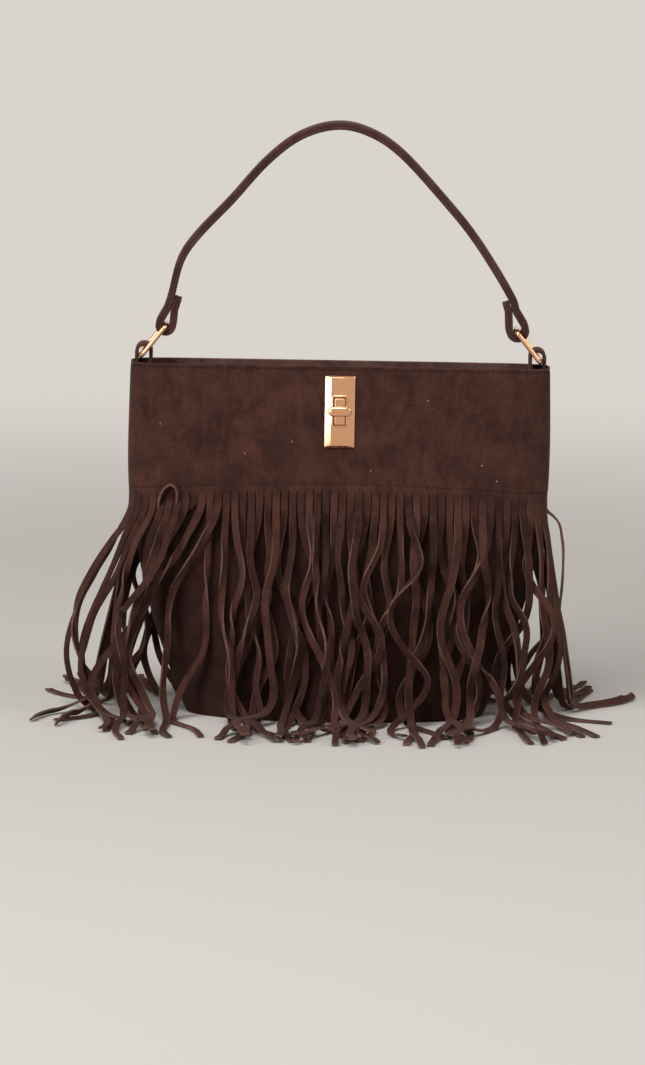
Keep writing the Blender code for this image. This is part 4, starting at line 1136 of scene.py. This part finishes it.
def strap_profile(half_width, half_thick, round_off, steps=4):
    """A rectangle with rounded corners, as offsets across and through."""
    turn = np.linspace(0, pi / 2, steps)
    corners = []
    for quarter, (across, through) in enumerate(((1, 1), (-1, 1), (-1, -1), (1, -1))):
        angle = turn + quarter * pi / 2
        corners.append(np.stack([
            across * (half_width - round_off) + round_off * np.cos(angle),
            through * (half_thick - round_off) + round_off * np.sin(angle),
        ], axis=1))
    return np.vstack(corners)


def smooth_path(points, steps):
    """A curve through the points, each stretch cut into steps, as cubic pieces."""
    points = np.array(points, float)
    place = np.arange(len(points))
    at = np.linspace(0, len(points) - 1, (len(points) - 1) * steps + 1)
    knots = [np.stack([place, column], axis=1) for column in points.T]
    return np.stack([through_knots(knot, at) for knot in knots], axis=1)


def path_normals(path):
    """Unit directions to the left of a flat path's travel."""
    travel = np.gradient(path, axis=0)
    travel /= np.linalg.norm(travel, axis=1, keepdims=True)
    return np.stack([-travel[:, 1], travel[:, 0]], axis=1)


def carry(name, path, half_width, thick, round_off, place, material, tip_round=0.0, flip=False):
    """A closed strap. place turns path points, and offsets across, into places. Near its
    ends the strap narrows to rounded corners, and its two end rings have 0.55 of its thickness and are closed
    by fans."""
    normals = path_normals(path)
    length = np.concatenate([[0.0], np.cumsum(np.hypot(*np.diff(path, axis=0).T))])
    from_end = np.minimum(length, length[-1] - length)
    narrow = np.zeros(len(path))
    if tip_round:
        inside = np.clip(from_end, 0, tip_round)
        narrow = tip_round - np.sqrt(np.maximum(tip_round**2 - (tip_round - inside) ** 2, 0))
    profile = strap_profile(half_width, thick / 2, round_off)
    across = np.sign(profile[:, 0])[None, :] * np.maximum(np.abs(profile[None, :, 0]) - narrow[:, None], 0)
    through = profile[None, :, 1] * np.where(from_end < 1e-9, 0.55, 1.0)[:, None]
    flat = path[:, None, :] + normals[:, None, :] * through[..., None]
    grid = place(flat, across)
    count = len(profile)
    middles = [place(path[[end]][:, None, :], np.zeros((1, 1))).reshape(1, 3) for end in (0, -1)]
    points = np.vstack([grid.reshape(-1, 3), *middles])
    quads = grid_quads(len(path), count, wrap_columns=True, flip=flip)
    start = fan(0, count, len(points) - 2, not flip)
    end = fan((len(path) - 1) * count, count, len(points) - 1, flip)
    return settle(make_mesh_object(name, points, [*quads, *start, *end], [material]))


def seen_from_front(flat, across):
    """Path points are x and height; the strap's width runs front to back."""
    return np.stack([flat[..., 0], np.broadcast_to(across, flat[..., 0].shape), flat[..., 1]], axis=-1)


# %% [markdown]
# ### Tabs and rings
# At each side seam a strip of suede is folded over the ring's lower bar and both its ends
# are sewn into the seam. The ring is a rectangle of 3.2 mm wire with tight corners, and it
# leans inward under the pull of the strap.

# %% Tabs
JOINTS = {joint["name"]: joint for joint in frame["record"]["behaviour"]["joints"]}
STRAP_HALF = 8.0
TAB_THICK, TAB_LOOP_RADIUS, TAB_RISE, TAB_DEPTH = 2.1, 3.6, 6.8, 23.5
RING_RADIUS, RING_SPACING, RING_CORNER, RING_LEAN = 1.6, 25.5, 3.1, radians(38.5)
SEAT_CLEARANCE = 0.4
lower_bar = np.array(JOINTS["ring_right_swing"]["pos_m"])[[0, 2]] / MM
upper_bar = lower_bar + RING_SPACING * np.array([-sin(RING_LEAN), cos(RING_LEAN)])


def tab_path():
    """The right tab: up beside the wall, round the bar, and down again inside."""
    middle = lower_bar[0] - TAB_LOOP_RADIUS + SEAT_CLEARANCE + RING_RADIUS
    crown, radius = BODY_HEIGHT + TAB_RISE, TAB_LOOP_RADIUS + TAB_THICK / 2
    outer, inner, foot = middle + radius, middle - radius, BODY_HEIGHT - TAB_DEPTH
    beside, drop = outer - TAB_THICK - LAYER_GAP, crown - foot
    turn = np.linspace(0, pi, 25)
    loop = np.stack([middle + radius * np.cos(turn), crown + radius * np.sin(turn)], axis=1)
    fall = [(inner, 0.14), (inner + 0.08 * (beside - inner), 0.26), (inner + 0.5 * (beside - inner), 0.42)]
    fall += [(inner + 0.92 * (beside - inner), 0.58), (beside, 0.72), (beside, 1.0)]
    back = smooth_path([(inner, crown), *[(x, crown - share * drop) for x, share in fall]], 5)
    rise = np.stack([np.full(8, outer), np.linspace(foot, crown, 8)], axis=1)
    return np.vstack([rise[:-1], loop, back[1:]])


for side, label in ((-1, "left"), (1, "right")):
    path = tab_path() * (side, 1)
    tab = carry(f"tab_{label}_strap", path, STRAP_HALF, TAB_THICK, 0.5, seen_from_front, strap_suede)
    dress(tab, "bag", "suede", f"tab_{label}")

# %% Rings


def make_ring(name, side):
    """A round section carried round a rounded rectangle that stands on the lower bar."""
    half = 9.25 + RING_RADIUS
    outline_points = strap_profile(half, RING_SPACING / 2, RING_CORNER, 9)
    sides = zip(outline_points, np.roll(outline_points, -1, axis=0))
    steps = [np.linspace(start, end, 6, endpoint=False) for start, end in sides]
    line = np.vstack([step if np.ptp(step, axis=0).max() > 3 else step[:1] for step in steps])
    travel = np.roll(line, -1, axis=0) - np.roll(line, 1, axis=0)
    travel /= np.linalg.norm(travel, axis=1, keepdims=True)
    outward = np.stack([travel[:, 1], -travel[:, 0]], axis=1)
    turn = np.linspace(0, 2 * pi, 20, endpoint=False)
    in_plane = line[:, None] + RING_RADIUS * np.cos(turn)[None, :, None] * outward[:, None]
    aside = np.broadcast_to(RING_RADIUS * np.sin(turn), in_plane.shape[:2])
    y, rise = in_plane[..., 0], in_plane[..., 1] + RING_SPACING / 2
    x = side * (lower_bar[0] - rise * sin(RING_LEAN)) + aside * cos(RING_LEAN)
    z = lower_bar[1] + rise * cos(RING_LEAN) + side * aside * sin(RING_LEAN)
    points = np.stack([x, y, z], axis=-1)
    quads = grid_quads(*in_plane.shape[:2], wrap_columns=True, wrap_rows=True, flip=True)
    return settle(make_mesh_object(name, points, quads.tolist(), [plating]), 70)


for side, label in ((-1, "left"), (1, "right")):
    dress(make_ring(f"ring_{label}_wire", side), f"ring_{label}", "brass", f"ring_{label}")

# %% [markdown]
# ### Handle
# The handle is two layers of suede sewn back to back. It rises in an uneven arch, folds
# round each ring's upper bar from outside to inside, and ends in a short tail that lies
# against its own inner face. Both layers follow one middle line, each a little to its side.

# %% Handle
STRAP_LAYER, STRAP_LEAN, TAIL_LENGTH = 2.15, radians(17), 20.0
SWING_PLAY, HANDLE_TOP = 1.6, BODY_HEIGHT + 157.7
SEWN_CLOSE = 0.27
ARCH_SHARES = (
    (-0.918, 0.324), (-0.823, 0.450), (-0.635, 0.625), (-0.440, 0.818), (-0.255, 0.945), (-0.055, 1.000),
    (0.130, 0.974), (0.330, 0.865), (0.611, 0.605), (0.750, 0.458), (0.875, 0.298),
)


def loop_path(side, play):
    """Round a ring's upper bar, from the tail's tip: told along the strap's lean."""
    bar = upper_bar * (side, 1)
    up = np.array([-side * sin(STRAP_LEAN), cos(STRAP_LEAN)])
    out = np.array([side * cos(STRAP_LEAN), sin(STRAP_LEAN)])
    half = STRAP_LAYER + LAYER_GAP / 2
    radius = RING_RADIUS + SEAT_CLEARANCE + play / 2 + half
    centre, beside, neck = bar + out * play / 2, half + LAYER_GAP / 2, 2.6 * radius
    climb = [(beside, 1.0), (0.55 * beside + 0.45 * radius, 0.62), (radius, 0.18)]
    turn = np.linspace(0, pi, 9)
    told = [(-beside, TAIL_LENGTH), (-beside, (TAIL_LENGTH + neck) / 2)]
    told += [(-across, rise * neck) for across, rise in climb]
    told += [(-radius * cos(a), -radius * sin(a)) for a in turn]
    told += [(across, rise * neck) for across, rise in climb[::-1]]
    told += [(beside, TAIL_LENGTH)]
    return [centre + across * out + rise * up for across, rise in told]


def handle_path():
    """The whole middle line, from the left tail to the right one."""
    left_x = -upper_bar[0]
    rise = HANDLE_TOP - upper_bar[1]
    crown = [(-across * left_x, upper_bar[1] + up * rise) for across, up in ARCH_SHARES]
    return smooth_path([*loop_path(-1, 0.0), *crown, *loop_path(1, SWING_PLAY)[::-1]], 6)


middle_line = handle_path()
layer_shift = (STRAP_LAYER + LAYER_GAP) / 2
for label, sign in (("outer", 1), ("inner", -1)):
    line = middle_line + sign * layer_shift * path_normals(middle_line)
    thick = STRAP_LAYER + SEWN_CLOSE
    layer = carry(f"handle_{label}_strap", line, STRAP_HALF, thick, 0.6, seen_from_front, strap_suede, 3.0)
    dress(layer, "handle", "suede", f"handle_{label}")

# %% [markdown]
# ## Turn lock
# A turn lock has a face plate with a slot, fixed to the front wall by prongs, and a male
# half on the tongue behind it: its block fills the slot, and a bar on a spindle turns across
# the slot to hold it shut. All its plates have a hole in the middle, so each is a closed
# tube of rings: out from the hole over the front, round the edge and back behind. A ring
# is a rectangle with round corners, or a circle where its corners take its whole size.

# %% The lock's frame and rings
toggle_joint = JOINTS["toggle_turn"]
LOCK_ORIGIN = np.array(toggle_joint["pos_m"]) / MM
LOCK_IN = np.array(toggle_joint["axis"])
LOCK_UP = np.array([0.0, -LOCK_IN[2], LOCK_IN[1]])
PLATE_HALF, PLATE_RISE, PLATE_FRONT, PLATE_BACK = 9.9, 23.5, -3.05, -0.35
SLOT_WIDE, SLOT_TALL, RIM_WIDE = 4.3, 9.4, 1.3


def lock_place(across, depth, up):
    """A place in the lock's frame: across, into the bag, and up the wall."""
    across, depth, up = np.broadcast_arrays(across, depth, up)
    side = across[..., None] * np.array([1.0, 0.0, 0.0])
    return LOCK_ORIGIN + side + depth[..., None] * LOCK_IN + up[..., None] * LOCK_UP


def ring_tube(rows, closed=True, steps=6):
    """Rings (half width, half height, corner, depth) joined in order."""
    grid = []
    for half_width, half_height, corner, depth in rows:
        ring = strap_profile(half_width, half_height, corner, steps)
        grid.append(lock_place(ring[:, 0], depth, ring[:, 1]))
    grid = np.stack(grid)
    return grid.reshape(-1, 3), grid_quads(*grid.shape[:2], wrap_columns=True, wrap_rows=closed, flip=True)


def join_parts(parts):
    """Several sets of points and faces as one."""
    points, faces, total = [], [], 0
    for part_points, part_faces in parts:
        points.append(part_points)
        faces += [[corner + total for corner in face] for face in part_faces]
        total += len(part_points)
    return np.vstack(points), faces


def lock_piece(name, parts, sharp_angle=50):
    """One plated piece made of several parts."""
    return settle(weld(make_mesh_object(name, *join_parts(parts), [plating])), sharp_angle)


def prong(reach, start, bend):
    """A flat tooth that runs into the bag and folds over towards the middle: a rectangle
    carried along an L, in rings."""
    side, thick, half = np.sign(reach), 0.7, 2.0
    tip = reach - side * 2.25
    corners = [(reach, start), (reach, bend - 0.2), (reach - side * 0.1, bend + 0.25)]
    corners += [(reach - side * 0.5, bend + 0.35), (tip, bend + 0.35)]
    path = np.array(corners)
    normals = path_normals(path) * thick / 2
    rings = [np.stack([path + sign * normals, path + sign * normals], axis=1) for sign in (1, -1)]
    ring = np.concatenate([rings[0], rings[1][:, ::-1]], axis=1)
    across = np.array([-half, half, half, -half])
    points = lock_place(across[None, :], ring[..., 1], ring[..., 0]).reshape(-1, 3)
    last = (len(path) - 1) * 4
    quads = grid_quads(len(path), 4, wrap_columns=True, flip=True).tolist()
    return points, quads + [[0, 1, 2, 3], [last + 3, last + 2, last + 1, last]]


# %% [markdown]
# The face plate's long sides are bevelled wide and low, its ends narrow. A raised lip runs
# round the slot, and every edge has the small round that polishing leaves, which is what
# draws the bright lines along it.

# %% Face plate
def plate_rows():
    """From the slot's back edge, over the lip, the bevels and the edge, to the back."""
    front, back, lip = PLATE_FRONT, PLATE_BACK, PLATE_FRONT - 0.5
    lip_wide, lip_tall = SLOT_WIDE + RIM_WIDE, SLOT_TALL + RIM_WIDE
    return [
        (SLOT_WIDE, SLOT_TALL, 1.0, back), (SLOT_WIDE, SLOT_TALL, 1.0, lip + 0.3),
        (SLOT_WIDE + 0.1, SLOT_TALL + 0.1, 1.1, lip + 0.08), (SLOT_WIDE + 0.35, SLOT_TALL + 0.35, 1.3, lip),
        (lip_wide - 0.4, lip_tall - 0.4, 1.6, lip), (lip_wide - 0.1, lip_tall - 0.1, 1.8, lip + 0.12),
        (lip_wide, lip_tall, 1.9, front - 0.06), (lip_wide + 0.08, lip_tall + 0.2, 1.9, front),
        (5.75, 21.9, 0.5, front), (5.95, 22.2, 0.5, front + 0.05), (6.2, 22.4, 0.5, front + 0.15),
        (9.65, 23.2, 0.5, back - 1.3), (9.85, 23.45, 0.6, back - 1.1),
        (PLATE_HALF, PLATE_RISE, 0.7, back - 0.9), (PLATE_HALF, PLATE_RISE, 0.7, back - 0.15),
        (PLATE_HALF - 0.15, PLATE_RISE - 0.15, 0.6, back),
    ]


PRONG_REACH, MALE_REACH = PLATE_RISE - 4.5, 11.9
plate_prongs = [prong(reach, PLATE_BACK - 0.3, 4.95) for reach in (PRONG_REACH, -PRONG_REACH)]
plate = lock_piece("lock_face_plate", [ring_tube(plate_rows()), *plate_prongs], 20)
dress(plate, "bag", "brass", "lock_plate")

# %% Male half


def male_rows():
    """From the bore's front edge, over the block and the small plate, to the bore's back."""
    face, start, bore = PLATE_FRONT, 6.0, 2.15
    wide, tall = SLOT_WIDE - 0.9, SLOT_TALL - 0.9
    return [
        (bore, bore, bore, face), (wide - 0.35, tall - 0.35, 0.6, face),
        (wide - 0.1, tall - 0.1, 0.75, face + 0.1), (wide, tall, 0.8, face + 0.35), (wide, tall, 0.8, start),
        (6.8, 13.3, 1.2, start), (7.0, 13.5, 1.4, start + 0.2), (7.0, 13.5, 1.4, start + 0.8),
        (6.8, 13.3, 1.2, start + 1.0), (bore, bore, bore, start + 1.0),
    ]


male_prongs = [prong(reach, 6.5, 10.7) for reach in (MALE_REACH, -MALE_REACH)]
male = lock_piece("lock_male_half", [ring_tube(male_rows()), *male_prongs])
dress(male, "bag", "brass", "lock_base")

# %% [markdown]
# The turning bar is a little crowned, thickest over its spindle, with rounded ends, so it
# mirrors bright lines along its top and round its ends.

# %% Turning bar
BAR_HALF, BAR_RISE, BAR_THICK = 7.8, 3.2, 3.8


def turning_bar():
    """Rings along the bar from tip to tip, each a superellipse |u|^2.6 + |v|^2.6 = 1 that
    grows from the tip by a quarter circle and is thickest in the middle."""
    rounding = 2.8
    angle = np.linspace(0, 2 * pi, 32, endpoint=False)
    waves = np.stack([np.cos(angle), np.sin(angle)], axis=1)
    section = np.sign(waves) * np.abs(waves) ** (2 / 2.6)
    turn = np.linspace(0, pi / 2, 6)[1:]
    inset = rounding * (1 - np.sin(turn))
    outward = -BAR_HALF + rounding * (1 - np.cos(turn))
    body = np.linspace(-BAR_HALF + rounding, BAR_HALF - rounding, 13)[1:-1]
    along = np.concatenate([outward, body, -outward[::-1]])
    inset = np.concatenate([inset, np.zeros(len(body)), inset[::-1]])
    back = PLATE_FRONT - 0.5 - 0.35
    rows = []
    for place, less in zip(along, inset):
        half_thick = BAR_THICK / 2 - 0.5 * less - 0.5 * (place / BAR_HALF) ** 2
        depth = back - BAR_THICK / 2 + section[:, 0] * half_thick
        rows.append(lock_place(np.full(len(section), place), depth, section[:, 1] * (BAR_RISE - less)))
    grid = np.stack(rows)
    count = grid.shape[1]
    points = np.vstack([grid.reshape(-1, 3), grid[0].mean(axis=0), grid[-1].mean(axis=0)])
    quads = grid_quads(len(rows), count, wrap_columns=True).tolist()
    start = fan(0, count, len(points) - 2, flip=True)
    return points, quads + start + fan((len(rows) - 1) * count, count, len(points) - 1)


def spindle():
    """The rod from inside the bar to the end behind the clip: rings between two poles."""
    rows = [(1.8, PLATE_FRONT - 2.0), (1.8, 12.3), (1.55, 12.55)]
    points, quads = ring_tube([(radius, radius, radius, depth) for radius, depth in rows], closed=False)
    count = len(points) // len(rows)
    poles = [lock_place(0.0, rows[end][1], 0.0)[None, :] for end in (0, -1)]
    ends = fan(0, count, len(points)) + fan(len(points) - count, count, len(points) + 1, flip=True)
    return np.vstack([points, *poles]), quads.tolist() + ends


dress(lock_piece("lock_turn_bar", [turning_bar(), spindle()]), "toggle", "brass", "lock_toggle")
for node in ("lock_back_plate", "lock_backing", "lock_washer", "lock_clip"):
    frame["nodes"][node].material_slots[0].material = plating

# %% [markdown]
# ### Closure tongue
# The tongue that carries the male half is sewn inside the back wall, passes over the mouth
# just under the rim, and hangs behind the lock.

# %% Tongue
TONGUE_THICK, TONGUE_HALF, TONGUE_DROP, TONGUE_HEAD, TONGUE_TOP = 1.8, 13.0, 20.0, 16.0, 6.0
TONGUE_DEPTH = 7.3 + TONGUE_THICK / 2


def tongue_path():
    """Seen from the right: up the back wall, over, and down behind the lock."""
    foot = lock_place(0.0, TONGUE_DEPTH, -TONGUE_DROP)[1:]
    head = lock_place(0.0, TONGUE_DEPTH, TONGUE_HEAD)[1:]
    crown = BODY_HEIGHT - TONGUE_TOP - TONGUE_THICK / 2

    def back_y(height):
        inside = wall_points(0.5, height, WALL_MID - SUEDE_THICK / 2, False)[1]
        return inside - LAYER_GAP - TONGUE_THICK / 2

    back = (back_y(head[1]), head[1])
    span, fall = back[0] - head[0], 0.22 * (crown - head[1])
    knots = [(back_y(LOCK_HEIGHT - TONGUE_DROP), LOCK_HEIGHT - TONGUE_DROP), back]
    arch = ((0.8, fall), (0.5, 0.0), (0.2, fall))
    knots += [(head[0] + share * span, crown - drop) for share, drop in arch]
    return smooth_path([*knots, tuple(head), tuple(foot)], 8)


def seen_from_right(flat, across):
    """Path points are y and height; the strap's width runs across the bag."""
    return np.stack([np.broadcast_to(across, flat[..., 0].shape), flat[..., 0], flat[..., 1]], axis=-1)


tongue = carry(
    "closure_tongue_strap", tongue_path(), TONGUE_HALF, TONGUE_THICK, 0.4, seen_from_right, suede, 4.0, True
)
dress(tongue, "bag", "suede", "closure_tongue")

# %% [markdown]
# ## Stage
# The bag stands on a plain pale floor. Large soft lamps stand where the photograph's window
# light comes from, on the left, with a weaker one on the right and a dim sky over all, so
# shadows stay soft but the gaps between the strands go deep. The window lamp is tall, like a
# window, and so the lock's left bevel mirrors it. The camera and the plating see the sky and
# the far floor as plain pale light, and close to the bag the floor takes its shadow.

# %% Floor, sky and lamps
FLOOR_COLOUR, FAR_COLOUR = linear("#ded9d3"), linear("#d9d4ce")
FLOOR_RINGS, FLOOR_CORNERS = (500.0, 1500.0, 4000.0, 9000.0), 64


def seen_or_mirrored(tree):
    """1 for rays from the camera, from mirrors and through glass; 0 for light's own."""
    path = add_node(tree, "ShaderNodeLightPath", {}, {}).outputs
    mirrored = calculate(tree, "MAXIMUM", path["Is Glossy Ray"], path["Is Transmission Ray"])
    return calculate(tree, "MAXIMUM", path["Is Camera Ray"], mirrored)


def make_floor():
    """A flat disc, from rings of growing radius round a closed middle."""
    turn = np.linspace(0, 2 * pi, FLOOR_CORNERS, endpoint=False)
    circle = np.stack([np.cos(turn), np.sin(turn), np.zeros(FLOOR_CORNERS)], axis=1)
    points = np.vstack([*[radius * circle for radius in FLOOR_RINGS], [[0.0, 0.0, 0.0]]])
    quads = grid_quads(len(FLOOR_RINGS), FLOOR_CORNERS, wrap_columns=True, flip=True)
    middle = fan(0, FLOOR_CORNERS, len(points) - 1)
    material, tree, shader, place = start_material("matte plaster")
    bump = add_node(tree, "ShaderNodeBump", {}, {"Height": noise(tree, place, 40.0, 4.0), "Strength": 0.02})
    tree.links.new(bump.outputs[0], shader.inputs["Normal"])
    shader.inputs["Base Color"].default_value = FLOOR_COLOUR
    shader.inputs["Roughness"].default_value = 0.9
    shader.inputs["Specular IOR Level"].default_value = 0.2
    radius = add_node(tree, "ShaderNodeVectorMath", {"operation": "LENGTH"}, {0: place}).outputs["Value"]
    blend = {"Value": radius, "From Min": 0.45, "From Max": 1.5}
    far = add_node(tree, "ShaderNodeMapRange", {"interpolation_type": "SMOOTHSTEP"}, blend).outputs[0]
    seen = calculate(tree, "MULTIPLY", far, seen_or_mirrored(tree))
    pale = add_node(tree, "ShaderNodeEmission", {}, {"Color": FAR_COLOUR, "Strength": 1.0}).outputs[0]
    mix = add_node(tree, "ShaderNodeMixShader", {}, {0: seen, 1: shader.outputs[0], 2: pale}).outputs[0]
    tree.links.new(mix, tree.nodes["Material Output"].inputs["Surface"])
    floor = make_mesh_object("floor", points, [*quads, *middle], [material])


def make_sky():
    """Soft light from everywhere, and plain pale light for the camera and the mirrors."""
    world = bpy.data.worlds.new("sky")
    world.use_nodes = True
    tree = world.node_tree
    tree.nodes.clear()
    dim, pale = (
        add_node(tree, "ShaderNodeBackground", {}, {"Color": colour, "Strength": strength}).outputs[0]
        for colour, strength in ((linear("#e6e2de"), 0.24), (FAR_COLOUR, 1.0))
    )
    mix = add_node(tree, "ShaderNodeMixShader", {}, {0: seen_or_mirrored(tree), 1: dim, 2: pale})
    add_node(tree, "ShaderNodeOutputWorld", {}, {0: mix.outputs[0]})
    bpy.context.scene.world = world


def make_lamp(name, place, width, height, power, aim=(0.0, 0.0, 0.2)):
    """A rectangular area lamp that faces the bag."""
    data = bpy.data.lights.new(name, "AREA")
    data.shape = "RECTANGLE"
    data.size, data.size_y = width, height
    data.energy = power
    lamp = bpy.data.objects.new(name, data)
    bpy.context.scene.collection.objects.link(lamp)
    away = Matrix.Translation(place).translation - Matrix.Translation(aim).translation
    lamp.matrix_world = Matrix.Translation(place) @ away.to_track_quat("Z", "Y").to_matrix().to_4x4()


make_floor()
make_sky()
make_lamp("window lamp", (-1.9, -2.1, 1.5), 1.0, 2.2, 52.0)
make_lamp("fill lamp", (2.4, -1.0, 1.5), 0.8, 1.2, 14.0)
make_lamp("top lamp", (-0.3, -1.2, 2.6), 1.0, 1.0, 30.0)

# %% Finish
bpy.context.scene.view_settings.view_transform = "Standard"
